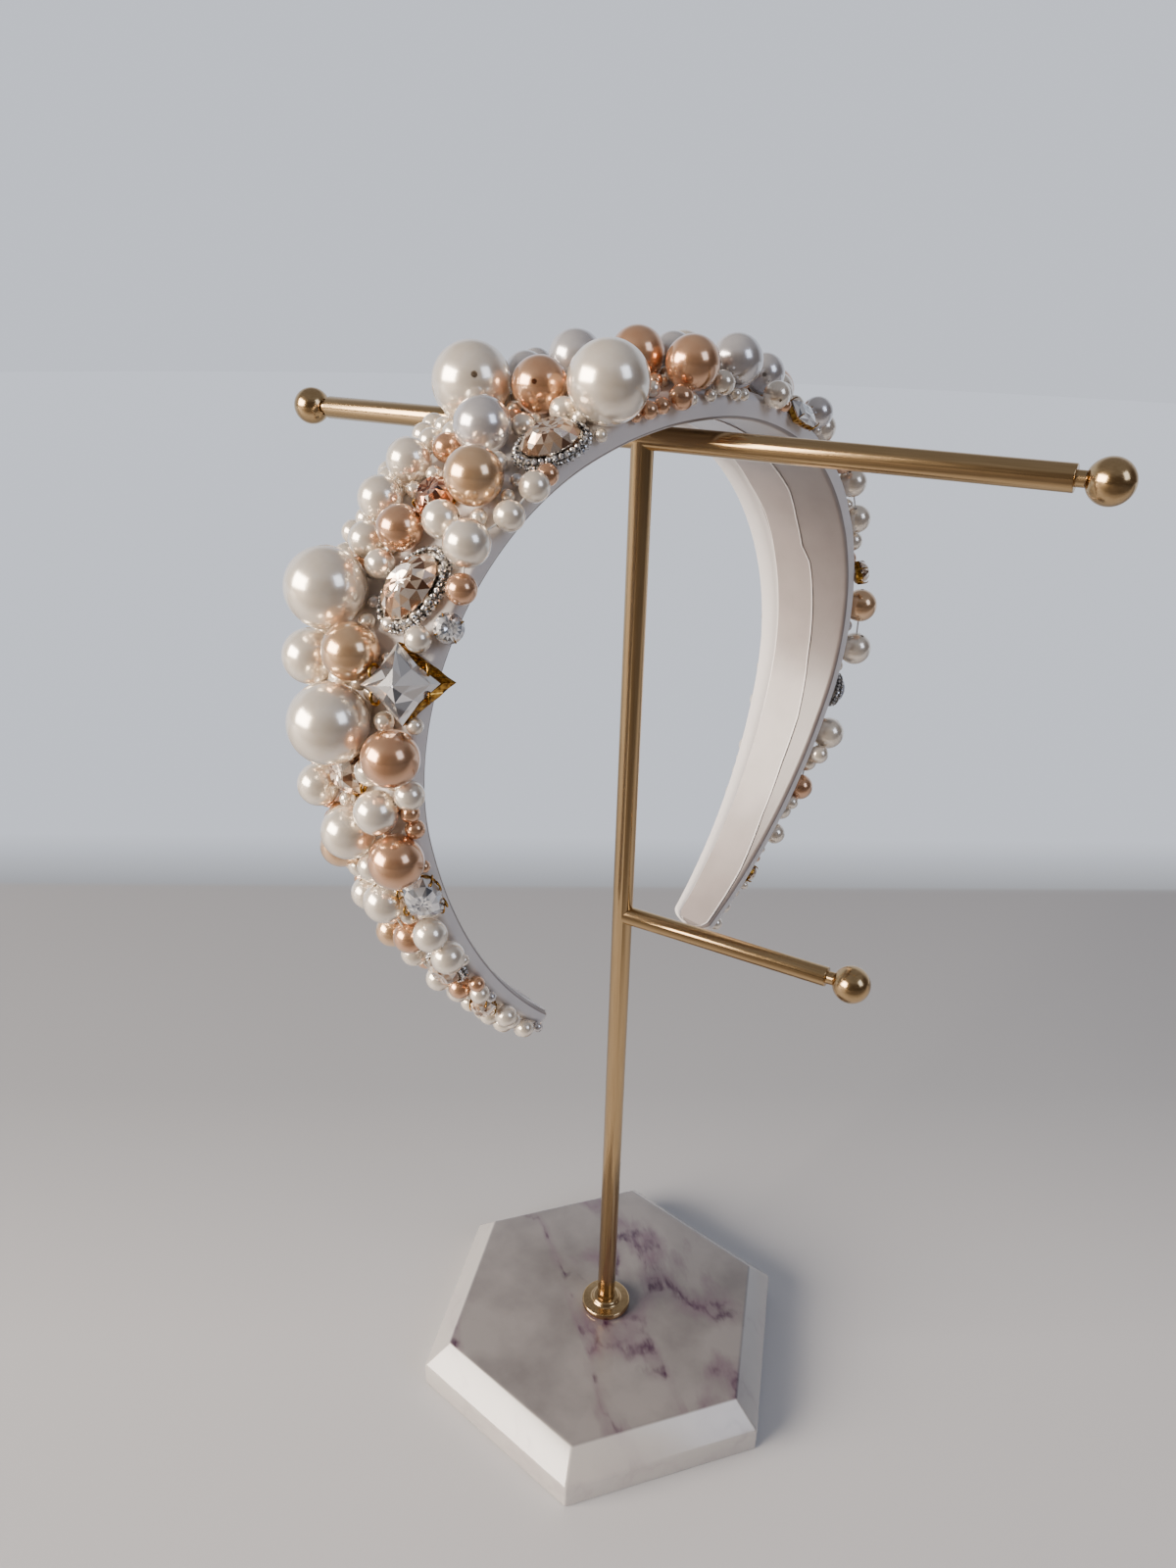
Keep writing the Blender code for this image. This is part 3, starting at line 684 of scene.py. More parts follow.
@dataclass(frozen=True)
class PlainFinish(Finish):
    """Matte sheet or clear nylon: one colour with a faint grain."""

    pale: str
    deep: str
    grain: float
    roughness: float

    def shade(self, tree: bpy.types.NodeTree) -> bpy.types.Node:
        """Grain of the given size in mm."""
        place = add_node(tree, "TexCoord").outputs["Object"]
        grain = add_node(tree, "TexNoise", {"Vector": place, "Scale": per_mm(self.grain), "Detail": 3.0})
        colour = set_ramp(
            add_node(tree, "ValToRGB", {"Fac": grain.outputs["Fac"]}),
            ((0.3, srgb(self.deep)), (0.7, srgb(self.pale))),
        )
        return add_node(tree, "BsdfPrincipled", {"Base Color": colour, "Roughness": self.roughness})


@dataclass(frozen=True)
class FloorFinish(Finish):
    """Table painted with light and shade: pale round the stand, painted shade in front of the camera's view,
    greying towards the back, and a glowing painted wall behind.
    """

    def shade(self, tree: bpy.types.NodeTree) -> bpy.types.Node:
        """Tones by distance along the camera's heading, from 0.4 m in front of the pole."""
        place = add_node(tree, "TexCoord").outputs["Object"]
        ahead = add_node(tree, "VectorMath", {0: place, 1: (-0.5326, 0.8476, 0)}, operation="DOT_PRODUCT")
        share = add_node(tree, "Math", {0: ahead.outputs["Value"], 1: 0.4}, operation="ADD").outputs[0]
        # Painted shade: the table is dark in front of the camera's view and greys towards the back, as light falls
        # off.
        table = set_ramp(
            add_node(tree, "ValToRGB", {"Fac": share}),
            (
                (0.080, srgb("#6A6562")),
                (0.290, srgb("#CBCACB")),
                (0.400, srgb("#CBCACB")),
                (0.520, srgb("#A9AAAD")),
                (0.687, srgb("#9FA0A4")),
                (0.690, srgb("#000000")),
            ),
        )
        # Painted glow: past the wall line the floor glows in the wall's tone, with a painted shadow where the wall
        # meets the table.
        wall = set_ramp(
            add_node(tree, "ValToRGB", {"Fac": share}),
            ((0.687, srgb("#000000")), (0.690, srgb("#9EA0A5")), (0.750, srgb(WALL_TONE))),
        )
        return add_node(
            tree,
            "BsdfPrincipled",
            {
                "Base Color": table,
                "Roughness": 0.6,
                "Specular IOR Level": 0.1,
                "Emission Color": wall,
                "Emission Strength": ROOM_LIGHT,
            },
        )


PEARL_FINISHES = {
    Tint.IVORY: PearlFinish("ivory_nacre", "#F3E6D3", "#F8EEDF", 0.62, 0.22),
    Tint.SILVER: PearlFinish("silver_grey_nacre", "#D3CFCE", "#DCD8D6", 0.68, 0.22),
    Tint.CHAMPAGNE: PearlFinish("champagne_nacre", "#DDB489", "#E5C199", 0.78, 0.21),
    Tint.ROSE: PearlFinish("rose_gold_nacre", "#D2A07A", "#DBAE89", 0.80, 0.21),
}
# Each foil finish gives the light, middle and dark tones of its painted facet reflections.
FOIL_FINISHES = {
    Foil.CLEAR: FoilFinish("clear_cut_glass", "#FFFFFF", "#DDDFE3", "#7C828B", 0.4, 0.7),
    Foil.CHAMPAGNE: FoilFinish("champagne_cut_glass", "#FFF3E6", "#E6C4A4", "#75523B", 0.5, 0.8),
    Foil.ROSE: FoilFinish("rose_cut_glass", "#F3C0A0", "#B9714C", "#4A2516"),
    Foil.SMOKE: FoilFinish("smoke_cut_glass", "#B9B9C4", "#5A5A66", "#1D1D24"),
}
# The rhinestones' light, middle and dark tones are painted facet reflections too.
RHINESTONE = FoilFinish("rhinestone_glass", "#FFFFFF", "#E4E5E9", "#2E3036", 0.9, 0.80)
GOLD_CAST = CastMetalFinish("gold_plated_setting", "#BC9144", "#704A16", 0.22)
SILVER_CAST = CastMetalFinish("silver_plated_setting", "#C9C7C2", "#6B6762", 0.26)
ROD_UPRIGHT = BrushedGoldFinish("brushed_gold_upright", (1.0, 1.0, 0.03))
ROD_LEVEL = BrushedGoldFinish("brushed_gold_level", (0.03, 1.0, 1.0))
ROD_TURNED = BrushedGoldFinish("brushed_gold_turned", (0.35, 0.35, 1.0))
MARBLE = MarbleFinish("polished_marble")
RIBBED_SATIN = SatinFinish("ribbed_satin", "#A5978F", "#6E625F", 1.1, 0.34, 0.45, 0.1)
# The band's inner face is darker than its outer cloth: a glossier smooth satin, and partly painted shade where the
# arch shades its inside.
SMOOTH_SATIN_PAINTED_SHADE = SatinFinish("smooth_satin_painted_shade", "#8C817D", "#776C68", 0.30, 0.02, 0.40, 1.0)
RIBBON_SATIN = SatinFinish("ribbon_satin", "#AFA39E", "#988C87", 0.30, 0.02, 0.34, 1.0, True)
NYLON = PlainFinish("nylon_thread", "#EFEDE8", "#D8D5CE", 1.0, 0.35)
FLOOR = FloorFinish("pale_table")


def pick(*chosen: bpy.types.Object) -> None:
    """Select only these objects and make the first the active one."""
    bpy.ops.object.select_all(action="DESELECT")
    for thing in chosen:
        thing.select_set(True)
    bpy.context.view_layer.objects.active = chosen[0]


@contextmanager
def editing(piece: bpy.types.Object) -> Iterator[None]:
    """Work on one piece in edit mode."""
    pick(piece)
    bpy.ops.object.mode_set(mode="EDIT")
    yield
    bpy.ops.object.mode_set(mode="OBJECT")


def choose(piece: bpy.types.Object, kind: str, test: Callable) -> None:
    """Select elements of the piece in edit mode by a test of each.

    Args:
        piece: The piece in edit mode.
        kind: VERT, EDGE or FACE.
        test: Says whether an element is chosen.
    """
    bpy.ops.mesh.select_mode(type=kind)
    bpy.ops.mesh.select_all(action="DESELECT")
    shape = bmesh.from_edit_mesh(piece.data)
    elements = {"VERT": shape.verts, "EDGE": shape.edges, "FACE": shape.faces}[kind]
    for element in elements:
        if test(element):
            element.select_set(True)
    bmesh.update_edit_mesh(piece.data)


def raise_top(rise: float, share: float, twist: float = 0.0) -> None:
    """Extrude the selected face upwards, then draw it in and turn it about Z."""
    bpy.ops.mesh.extrude_region_move(TRANSFORM_OT_translate={"value": (0, 0, rise)})
    bpy.ops.transform.resize(value=(share, share, 1), center_override=(0, 0, 0))
    if twist:
        bpy.ops.transform.rotate(value=twist, orient_axis="Z", center_override=(0, 0, 0))


def add_painted_glints(piece: bpy.types.Object, seed: int) -> None:
    """Give every face its own painted glint, three random shares from 0 to 1 that the foil finish reads as painted
    reflection tone and tilt.
    """
    painted_glints = piece.data.attributes.new("painted_glint", "FLOAT_VECTOR", "FACE")
    dice = random.Random(seed)
    for value in painted_glints.data:
        value.vector = (dice.random(), dice.random(), dice.random())


def modify(piece: bpy.types.Object, kind: str, **settings) -> None:
    """Add a modifier with its settings and apply it."""
    pick(piece)
    modifier = piece.modifiers.new(kind.lower(), kind)
    for name, value in settings.items():
        setattr(modifier, name, value)
    bpy.ops.object.modifier_apply(modifier=modifier.name)


def fix_place(piece: bpy.types.Object) -> None:
    """Put the piece's place and turn into its mesh."""
    pick(piece)
    bpy.ops.object.transform_apply(location=True, rotation=True, scale=True)


def dress(piece: bpy.types.Object, finish: Finish) -> bpy.types.Object:
    """Give the whole piece one finish."""
    piece.data.materials.clear()
    piece.data.materials.append(finish.material())
    return piece


def copy_at(model: bpy.types.Object, place: Matrix, finish: Finish | None = None) -> bpy.types.Object:
    """Copy a model with its own mesh, moved into place.

    Args:
        model: What is copied.
        place: The copy's place, put into its mesh.
        finish: The copy's finish, or None to keep the model's.

    Returns:
        The copy.
    """
    mesh = model.data.copy()
    mesh.transform(place)
    copied = bpy.data.objects.new(model.name + "_copy", mesh)
    bpy.context.scene.collection.objects.link(copied)
    return dress(copied, finish) if finish else copied


def join(name: str, parts: Sequence[bpy.types.Object]) -> bpy.types.Object:
    """Join objects into one piece with this name."""
    pick(*parts)
    if len(parts) > 1:
        bpy.ops.object.join()
    piece = bpy.context.view_layer.objects.active
    piece.name = name
    piece.data.name = name
    return piece


def hand_over(piece: bpy.types.Object, slot: str, *nodes: str) -> None:
    """Tell the frame what the piece rides on, and hide the CAD nodes that it stands for."""
    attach(piece, BODY)
    if nodes:
        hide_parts(*nodes)
    LOG.info("%s: %d faces, for %s", piece.name, len(piece.data.polygons), ", ".join(nodes) or "no node")


def frame_at(origin: Vector, axis: Vector, spin: float = 0.0) -> Matrix:
    """Place with its Z along an axis, turned about it by spin."""
    turn = axis.normalized().to_track_quat("Z", "Y").to_matrix().to_4x4()
    return Matrix.Translation(origin) @ turn @ Matrix.Rotation(spin, 4, "Z")


@dataclass(frozen=True)
class Arch:
    """The headband's arch: three arcs on each side of the crown, and the padding on them."""

    crown_radius: float = 0.0875
    crown_sweep: float = math.radians(22.5)
    side_radius: float = 0.061
    side_sweep: float = math.radians(82.4)
    leg_radius: float = 0.126
    leg_sweep: float = math.radians(34.4)
    turn: float = math.radians(-14.9)
    offset_x: float = -0.0038
    offset_y: float = 0.0046
    crown_height: float = 0.274366
    full_width: float = 0.0442
    tip_width: float = 0.0130
    full_thickness: float = 0.008
    tip_thickness: float = 0.0045
    edge_share: float = 0.5
    tip_round: float = 0.003

    @property
    def across_axis(self) -> Vector:
        """Direction across the band, towards its near edge."""
        return Vector((math.cos(self.turn), math.sin(self.turn), 0))

    @property
    def half_length(self) -> float:
        """Length from the crown to a tip, along the inner face."""
        side = self.side_radius * self.side_sweep
        return self.crown_radius * self.crown_sweep + side + self.leg_radius * self.leg_sweep

    @lru_cache(maxsize=100000)
    def axes(self, along: float) -> tuple[Vector, Vector, Vector]:
        """Point on the inner face at mid-width, and the directions along and outward there.

        Args:
            along: Signed distance from the crown, along the inner face.

        Returns:
            The point, the forward direction and the outward direction.
        """
        reach, height, heading = 0.0, 0.0, 0.0
        left = abs(along)
        arcs = (
            (self.crown_radius, self.crown_sweep),
            (self.side_radius, self.side_sweep),
            (self.leg_radius, self.leg_sweep),
        )
        for number, (radius, sweep) in enumerate(arcs):
            turn = left / radius
            if number < len(arcs) - 1:
                turn = min(turn, sweep)
            reach += radius * (math.sin(heading + turn) - math.sin(heading))
            height -= radius * (math.cos(heading) - math.cos(heading + turn))
            heading += turn
            left -= turn * radius
            if left <= 0:
                break
        reach, heading = math.copysign(reach, along), math.copysign(heading, along)
        sideways = Vector((-math.sin(self.turn), math.cos(self.turn), 0))
        up = Vector((0, 0, 1))
        crown = Vector((self.offset_x, self.offset_y, self.crown_height))
        point = crown + reach * sideways + height * up
        outward = math.sin(heading) * sideways + math.cos(heading) * up
        forward = math.cos(heading) * sideways - math.sin(heading) * up
        return point, forward, outward

    def place(self, along: float, across: float, up: float) -> Vector:
        """World point over the band: along from the crown, across from mid-width, up from the inner face."""
        point, _, outward = self.axes(along)
        return point + across * self.across_axis + up * outward

    def width(self, along: float) -> float:
        """Full width of the band at a distance from the crown."""
        return self.full_width + (self.tip_width - self.full_width) * min(1.0, abs(along) / self.half_length)

    def thickness(self, along: float) -> float:
        """Full thickness of the padding at a distance from the crown."""
        share = min(1.0, abs(along) / self.half_length)
        return self.full_thickness + (self.tip_thickness - self.full_thickness) * share

    def dome_height(self, along: float, across: float) -> float:
        """Height of the padding's outer side over the inner face."""
        half, thickness = self.width(along) / 2, self.thickness(along)
        edge = thickness * self.edge_share
        share = max(-1.0, min(1.0, across / half))
        return edge + (thickness - edge) * math.sqrt(1 - share**2)

    def rest_height(self, along: float, across: float, reach: float) -> float:
        """Height over the inner face at which a ball of this reach rests on the padding."""
        half, thickness = self.width(along) / 2, self.thickness(along)
        edge = thickness * self.edge_share
        steps = 24
        best = edge / 2
        for step in range(steps + 1):
            angle = math.pi / 2 * (1 - 2 * step / steps)
            side = half * math.sin(angle)
            if abs(side - across) < reach:
                up = edge + (thickness - edge) * math.cos(angle)
                best = max(best, up + math.sqrt(reach**2 - (side - across) ** 2))
        return best


ARCH = Arch()


@dataclass
class CrystalPlace:
    """One row of the crystal chart, and where its setting sits on the band."""

    cut: Cut
    foil: Foil
    along: float
    across: float
    length: float
    width: float
    turn: float
    lean: float
    setting: float = 1.6 * MM
    girdle: float = 2.6 * MM
    rise_share: float = 0.32
    gap: float = 0.3 * MM

    def __post_init__(self) -> None:
        """Work out the setting's own axes and its origin, with its base leaning on the padding."""
        self.along *= ARCH.half_length
        lean, turn = math.radians(self.lean), math.radians(self.turn)
        _, forward, outward = ARCH.axes(self.along)
        side = math.cos(lean) * ARCH.across_axis - math.sin(lean) * outward
        self.normal = math.cos(lean) * outward + math.sin(lean) * ARCH.across_axis
        self.long_axis = math.cos(turn) * forward + math.sin(turn) * side
        self.short_axis = math.cos(turn) * side - math.sin(turn) * forward
        half = ARCH.width(self.along) / 2
        middle = self.across * half
        thickness = ARCH.thickness(self.along)
        edge = thickness * ARCH.edge_share
        touch = math.atan(math.tan(lean) * half / (thickness - edge))
        touch_up = edge + (thickness - edge) * math.cos(touch)
        slide = middle - half * math.sin(touch)
        seat = touch_up + self.gap / math.cos(lean) - slide * math.tan(lean)
        self.origin = ARCH.place(self.along, middle, seat)
        self.height = self.setting + self.rise_share * min(self.length, self.width)
        self.samples = self.sample_points()

    @property
    def frame(self) -> Matrix:
        """The setting's own frame: X and Y in its base, Z out of the stone."""
        columns = Matrix((self.long_axis, self.short_axis, self.normal)).transposed()
        if columns.determinant() < 0:
            columns = Matrix((self.long_axis, -self.short_axis, self.normal)).transposed()
        return Matrix.Translation(self.origin) @ columns.to_4x4()

    def outline(self, angle: float) -> tuple[float, float]:
        """Offset from the centre to the setting's edge, in the stone's own plane."""
        power = self.cut.value.power
        cos, sin = math.cos(angle), math.sin(angle)
        reach = (abs(cos) ** power + abs(sin) ** power) ** (-1 / power)
        return reach * cos * self.length / 2, reach * sin * self.width / 2

    def sample_points(self) -> np.ndarray:
        """Points that stand for the whole setting where a pearl has to stay clear of it."""
        stone, table = self.cut.value.stone, self.cut.value.table
        points = []
        for share, up in (
            (1.0, 0.0),
            (1.0, self.setting),
            (stone, self.girdle),
            (stone * table, self.height),
            (stone * (1 + table) / 2, (self.girdle + self.height) / 2),
            (stone * table / 2, self.height),
        ):
            for step in range(24):
                x, y = self.outline(TURN * step / 24)
                offset = share * (x * self.long_axis + y * self.short_axis)
                points.append(list(self.origin + offset + up * self.normal))
        return np.array(points)


PEARL_SIZES = {"grand": 0.016, "large": 0.0112, "medium": 0.0090, "small": 0.0074, "petite": 0.0060}


@dataclass
class PearlPlace:
    """One pearl: its radius, its tint and its place over the band, in metres."""

    radius: float
    tint: Tint
    along: float
    across: float
    lift: float = 0.0
    gap: float = 0.3 * MM
    overhang: float = 0.75

    def __post_init__(self) -> None:
        """Turn the chart's shares into metres."""
        self.along *= ARCH.half_length
        self.across *= ARCH.width(self.along) / 2
        self.home = (self.along, self.across)

    @property
    def centre(self) -> Vector:
        """Centre of the pearl at rest on the padding, kept from sliding off an edge."""
        reach = self.radius + self.gap
        limit = ARCH.width(self.along) / 2 + self.overhang * reach
        self.across = max(-limit, min(limit, self.across))
        up = ARCH.rest_height(self.along, self.across, reach) + self.lift
        return ARCH.place(self.along, self.across, up)

    def shift(self, along: float, across: float) -> None:
        """Move the pearl over the band."""
        self.along += along
        self.across += across


@dataclass
class Settler:
    """Lets the pearls find room beside each other, as the CAD model does."""

    turns: int = 140
    room: float = 0.6 * MM
    push: float = 0.55
    pull: float = 0.06
    pull_share: float = 0.67

    def part_pair(self, first: PearlPlace, second: PearlPlace) -> None:
        """Push two pearls apart where they meet, the smaller one further."""
        if abs(first.along - second.along) > 2 * (first.radius + second.radius):
            return
        miss = first.radius + second.radius + self.room - (second.centre - first.centre).length
        if miss <= 0:
            return
        along = second.along - first.along
        across = second.across - first.across
        flat = math.hypot(along, across) or 1.0
        heavy, light = first.radius**3, second.radius**3
        share = light / (heavy + light)
        step = miss * self.push
        first.shift(-along / flat * step * share, -across / flat * step * share)
        second.shift(along / flat * step * (1 - share), across / flat * step * (1 - share))

    def push_off(self, pearl: PearlPlace, crystal: CrystalPlace) -> None:
        """Push a pearl away from a crystal where they meet."""
        if abs(pearl.along - crystal.along) > crystal.length + pearl.radius:
            return
        centre = pearl.centre
        distances = np.linalg.norm(np.array(centre) - crystal.samples, axis=1)
        miss = pearl.radius + self.room - float(distances.min())
        if miss <= 0:
            return
        _, forward, _ = ARCH.axes(pearl.along)
        away = centre - crystal.origin
        along, across = away.dot(forward), away.dot(ARCH.across_axis)
        flat = math.hypot(along, across) or 1.0
        pearl.shift(along / flat * miss * self.push, across / flat * miss * self.push)

    def settle(self, pearls: list[PearlPlace], crystals: list[CrystalPlace]) -> None:
        """Move the pearls until none meets another or a crystal."""
        for turn in range(self.turns):
            pull = self.pull * max(0.0, 1 - turn / (self.pull_share * self.turns))
            for number, first in enumerate(pearls):
                for second in pearls[number + 1 :]:
                    self.part_pair(first, second)
                for crystal in crystals:
                    self.push_off(first, crystal)
                home_along, home_across = first.home
                first.shift((home_along - first.along) * pull, (home_across - first.across) * pull)
        self.lift_trapped(pearls, crystals)

    @staticmethod
    def lift_trapped(pearls: list[PearlPlace], crystals: list[CrystalPlace]) -> None:
        """Lift the few pearls that found no room, the largest placed first."""
        placed: list[PearlPlace] = []
        for pearl in sorted(pearls, key=lambda item: -item.radius):
            while not Settler.clears(pearl, placed, crystals):
                pearl.lift += pearl.gap / 2
            placed.append(pearl)

    @staticmethod
    def clears(pearl: PearlPlace, others: list[PearlPlace], crystals: list[CrystalPlace]) -> bool:
        """Whether a pearl stays clear of the pearls placed before it and of every crystal."""
        centre = pearl.centre
        if any((centre - other.centre).length < pearl.radius + other.radius + pearl.gap for other in others):
            return False
        spot = np.array(centre)
        nearest = min(np.linalg.norm(spot - crystal.samples, axis=1).min() for crystal in crystals)
        return nearest >= pearl.radius + pearl.gap

    def settle_fine(
        self, fine: list[PearlPlace], fixed: list[PearlPlace], crystals: list[CrystalPlace]
    ) -> None:
        """Move only the fine pearls, off the fixed ones and off the crystals."""
        centres = [pearl.centre for pearl in fixed]
        for _ in range(60):
            for number, pearl in enumerate(fine):
                for other, centre in zip(fixed, centres):
                    gap = (pearl.centre - centre).length - pearl.radius - other.radius
                    if gap < 0:
                        along, across = pearl.along - other.along, pearl.across - other.across
                        flat = math.hypot(along, across) or 1.0
                        pearl.shift(-along / flat * gap * self.push, -across / flat * gap * self.push)
                for other in fine[number + 1 :]:
                    self.part_pair(pearl, other)
                for crystal in crystals:
                    self.push_off(pearl, crystal)


class Trim:
    """The charted crystals, pearls and sprays, settled on the band."""

    def __init__(self) -> None:
        """Read the charts and settle them."""
        self.crystals = [
            CrystalPlace(Cut[cut.upper()], Foil(foil), *sizes) for cut, foil, *sizes in CRYSTAL_CHART
        ]
        self.loose = [self.pearl(*row) for row in PEARL_CHART]
        self.sprays = [[self.pearl(*row) for row in spray] for spray in SPRAY_CHART]
        Settler().settle(self.all_pearls, self.crystals)
        self.fine = [
            PearlPlace(diameter * MM / 2, Tint(tint), along, across, gap=0.1 * MM)
            for tint, diameter, along, across in FINE_CHART
        ]
        Settler(room=0.05 * MM).settle_fine(self.fine, self.all_pearls, self.crystals)
        self.fillers = self.fill_gaps()

    @staticmethod
    def pearl(size: str, tint: str, along: float, across: float) -> PearlPlace:
        """A charted pearl."""
        return PearlPlace(PEARL_SIZES[size] / 2, Tint(tint), along, across)

    @property
    def all_pearls(self) -> list[PearlPlace]:
        """Every pearl of the CAD model, the loose ones first."""
        return self.loose + [pearl for spray in self.sprays for pearl in spray]

    def fill_gaps(self) -> list[PearlPlace]:
        """Seed pearls wherever the satin would show between the others, larger ones first.

        Returns:
            The seed pearls.
        """
        dice = random.Random(7)
        taken = [(pearl.centre, pearl.radius) for pearl in self.all_pearls + self.fine]
        centres = np.array([list(centre) for centre, _ in taken])
        radii = np.array([radius for _, radius in taken])
        settings = np.concatenate([crystal.samples for crystal in self.crystals])
        found = []
        for radius in (2.6 * MM, 2.1 * MM, 1.7 * MM, 1.35 * MM):
            for row in range(-160, 161):
                for column in range(-14, 15):
                    tint = dice.choices((Tint.IVORY, Tint.ROSE, Tint.SILVER), (0.78, 0.10, 0.12))[0]
                    along = (row + dice.uniform(-0.5, 0.5)) / 164
                    across = (column + dice.uniform(-0.5, 0.5)) / 13.2
                    seed = PearlPlace(radius, tint, along, across, gap=0.1 * MM)
                    if ARCH.half_length - abs(seed.along) < 2.5 * MM or (along > 0.05 and across > 0.85):
                        continue
                    centre = np.array(seed.centre)
                    if (np.linalg.norm(centres - centre, axis=1) - radii).min() < radius + 0.05 * MM:
                        continue
                    if np.linalg.norm(settings - centre, axis=1).min() < radius + 0.2 * MM:
                        continue
                    found.append(seed)
                    centres = np.vstack([centres, centre])
                    radii = np.append(radii, radius)
        LOG.info("seed pearls in the gaps: %d", len(found))
        return found


@dataclass
class Stand:
    """The jewellery stand: marble foot, collar, rods and their ball ends."""

    foot_radius: float = 0.0562
    foot_top_radius: float = 0.0484
    foot_side: float = 0.0071
    foot_height: float = 0.0139
    foot_turn: float = math.radians(48.6)
    foot_bevel: float = 0.5 * MM
    pole_radius: float = 0.0026
    socket_depth: float = 0.008
    bar_height: float = 0.2695
    bar_radius: float = 0.0027
    bar_half: float = 0.095
    arm_height: float = 0.1507
    arm_radius: float = 0.0024
    arm_length: float = 0.0612
    neck_radius: float = 0.0016
    neck_length: float = 0.0011
    ball_radius: float = 0.0045
    collar_radius: float = 0.0072
    collar_height: float = 0.0019
    gap: float = 0.3 * MM

    def build(self) -> None:
        """Build every piece of the stand."""
        self.build_foot()
        self.build_collar()
        self.build_rods()
        for name, reach, height in (
            ("bar_ball_left", -self.bar_half, self.bar_height),
            ("bar_ball_right", self.bar_half, self.bar_height),
            ("arm_ball", self.arm_length, self.arm_height),
        ):
            self.build_ball(name, reach, height)

    def build_foot(self) -> None:
        """Hexagonal marble foot: a prism, its top drawn in for the bevel, softened edges, a socket."""
        bpy.ops.object.select_all(action="DESELECT")
        bpy.ops.mesh.primitive_cylinder_add(
            vertices=6,
            radius=self.foot_radius,
            depth=self.foot_side,
            location=(0, 0, self.foot_side / 2),
            rotation=(0, 0, self.foot_turn - math.pi / 2),
        )
        foot = bpy.context.active_object
        fix_place(foot)
        with editing(foot):
            choose(foot, "FACE", lambda face: face.normal.z > 0.9)
            raise_top(self.foot_height - self.foot_side, self.foot_top_radius / self.foot_radius)
        bpy.ops.mesh.primitive_cylinder_add(
            vertices=48,
            radius=self.pole_radius + self.gap,
            depth=2 * self.socket_depth,
            location=(0, 0, self.foot_height),
        )
        socket = bpy.context.active_object
        modify(foot, "BEVEL", width=self.foot_bevel, segments=3, limit_method="ANGLE")
        modify(foot, "BOOLEAN", operation="DIFFERENCE", solver="EXACT", object=socket)
        bpy.data.objects.remove(socket)
        pick(foot)
        bpy.ops.object.shade_smooth_by_angle(angle=math.radians(20))
        dress(foot, MARBLE)
        hand_over(join("marble_foot", [foot]), "marble", "stand_base")

    def build_collar(self) -> None:
        """Flat collar with a raised boss round the pole's foot."""
        bottom = self.foot_height + self.gap
        bpy.ops.object.select_all(action="DESELECT")
        bpy.ops.mesh.primitive_cylinder_add(
            vertices=72,
            radius=self.collar_radius,
            depth=self.collar_height,
            location=(0, 0, bottom + self.collar_height / 2),
        )
        collar = bpy.context.active_object
        fix_place(collar)
        with editing(collar):
            choose(collar, "FACE", lambda face: face.normal.z > 0.9)
            bpy.ops.mesh.inset(thickness=self.collar_radius - 4.4 * MM)
            raise_top(1.3 * MM, 0.86)
        bpy.ops.mesh.primitive_cylinder_add(
            vertices=48,
            radius=self.pole_radius + 0.05 * MM,
            depth=20 * MM,
            location=(0, 0, bottom),
        )
        bore = bpy.context.active_object
        modify(collar, "BEVEL", width=0.5 * MM, segments=4, limit_method="ANGLE")
        modify(collar, "BOOLEAN", operation="DIFFERENCE", solver="EXACT", object=bore)
        bpy.data.objects.remove(bore)
        pick(collar)
        bpy.ops.object.shade_smooth_by_angle(angle=math.radians(30))
        dress(collar, ROD_TURNED)
        hand_over(join("collar", [collar]), "brushed_gold", "stand_collar")

    def rod(self, radius: float, start: float, end: float, ends: Sequence[int]) -> bpy.types.Object:
        """A rod along X with a thin neck at the chosen ends.

        Args:
            radius: The rod's radius.
            start: X of its left end, without a neck.
            end: X of its right end, without a neck.
            ends: -1 for a neck on the left, 1 for one on the right.

        Returns:
            The rod.
        """
        bpy.ops.object.select_all(action="DESELECT")
        bpy.ops.mesh.primitive_cylinder_add(
            vertices=48,
            radius=radius,
            depth=end - start,
            location=((start + end) / 2, 0, 0),
            rotation=(0, math.pi / 2, 0),
        )
        rod = bpy.context.active_object
        fix_place(rod)
        with editing(rod):
            choose(rod, "FACE", lambda face: abs(face.normal.x) > 0.9)
            bpy.ops.mesh.bevel(offset=0.25 * MM, segments=3, affect="EDGES")
            for side in ends:
                choose(rod, "FACE", lambda face, side=side: face.normal.x * side > 0.99)
                bpy.ops.mesh.inset(thickness=radius - 0.25 * MM - self.neck_radius)
                reach = self.neck_length + 2 * self.gap
                bpy.ops.mesh.extrude_region_move(TRANSFORM_OT_translate={"value": (side * reach, 0, 0)})
        return rod

    def build_rods(self) -> None:
        """Pole, crossbar and arm, soldered into one."""
        neck = self.ball_radius + self.gap + self.neck_length
        bar = self.rod(self.bar_radius, neck - self.bar_half, self.bar_half - neck, (-1, 1))
        arm = self.rod(self.arm_radius, 0.0, self.arm_length - neck, (1,))
        for level, height in ((bar, self.bar_height), (arm, self.arm_height)):
            level.location.z = height
            fix_place(level)
            dress(level, ROD_LEVEL)
        low = self.foot_height - self.socket_depth + self.gap
        pole = self.rod(self.pole_radius, low, self.bar_height, ())
        pole.rotation_euler.y = -math.pi / 2
        fix_place(pole)
        dress(pole, ROD_UPRIGHT)
        for level in (bar, arm):
            modify(
                pole, "BOOLEAN", operation="UNION", solver="EXACT", material_mode="TRANSFER", object=level
            )
            bpy.data.objects.remove(level)
        pick(pole)
        bpy.ops.object.shade_smooth_by_angle(angle=math.radians(35))
        hand_over(join("gold_rods", [pole]), "brushed_gold", "stand_frame")

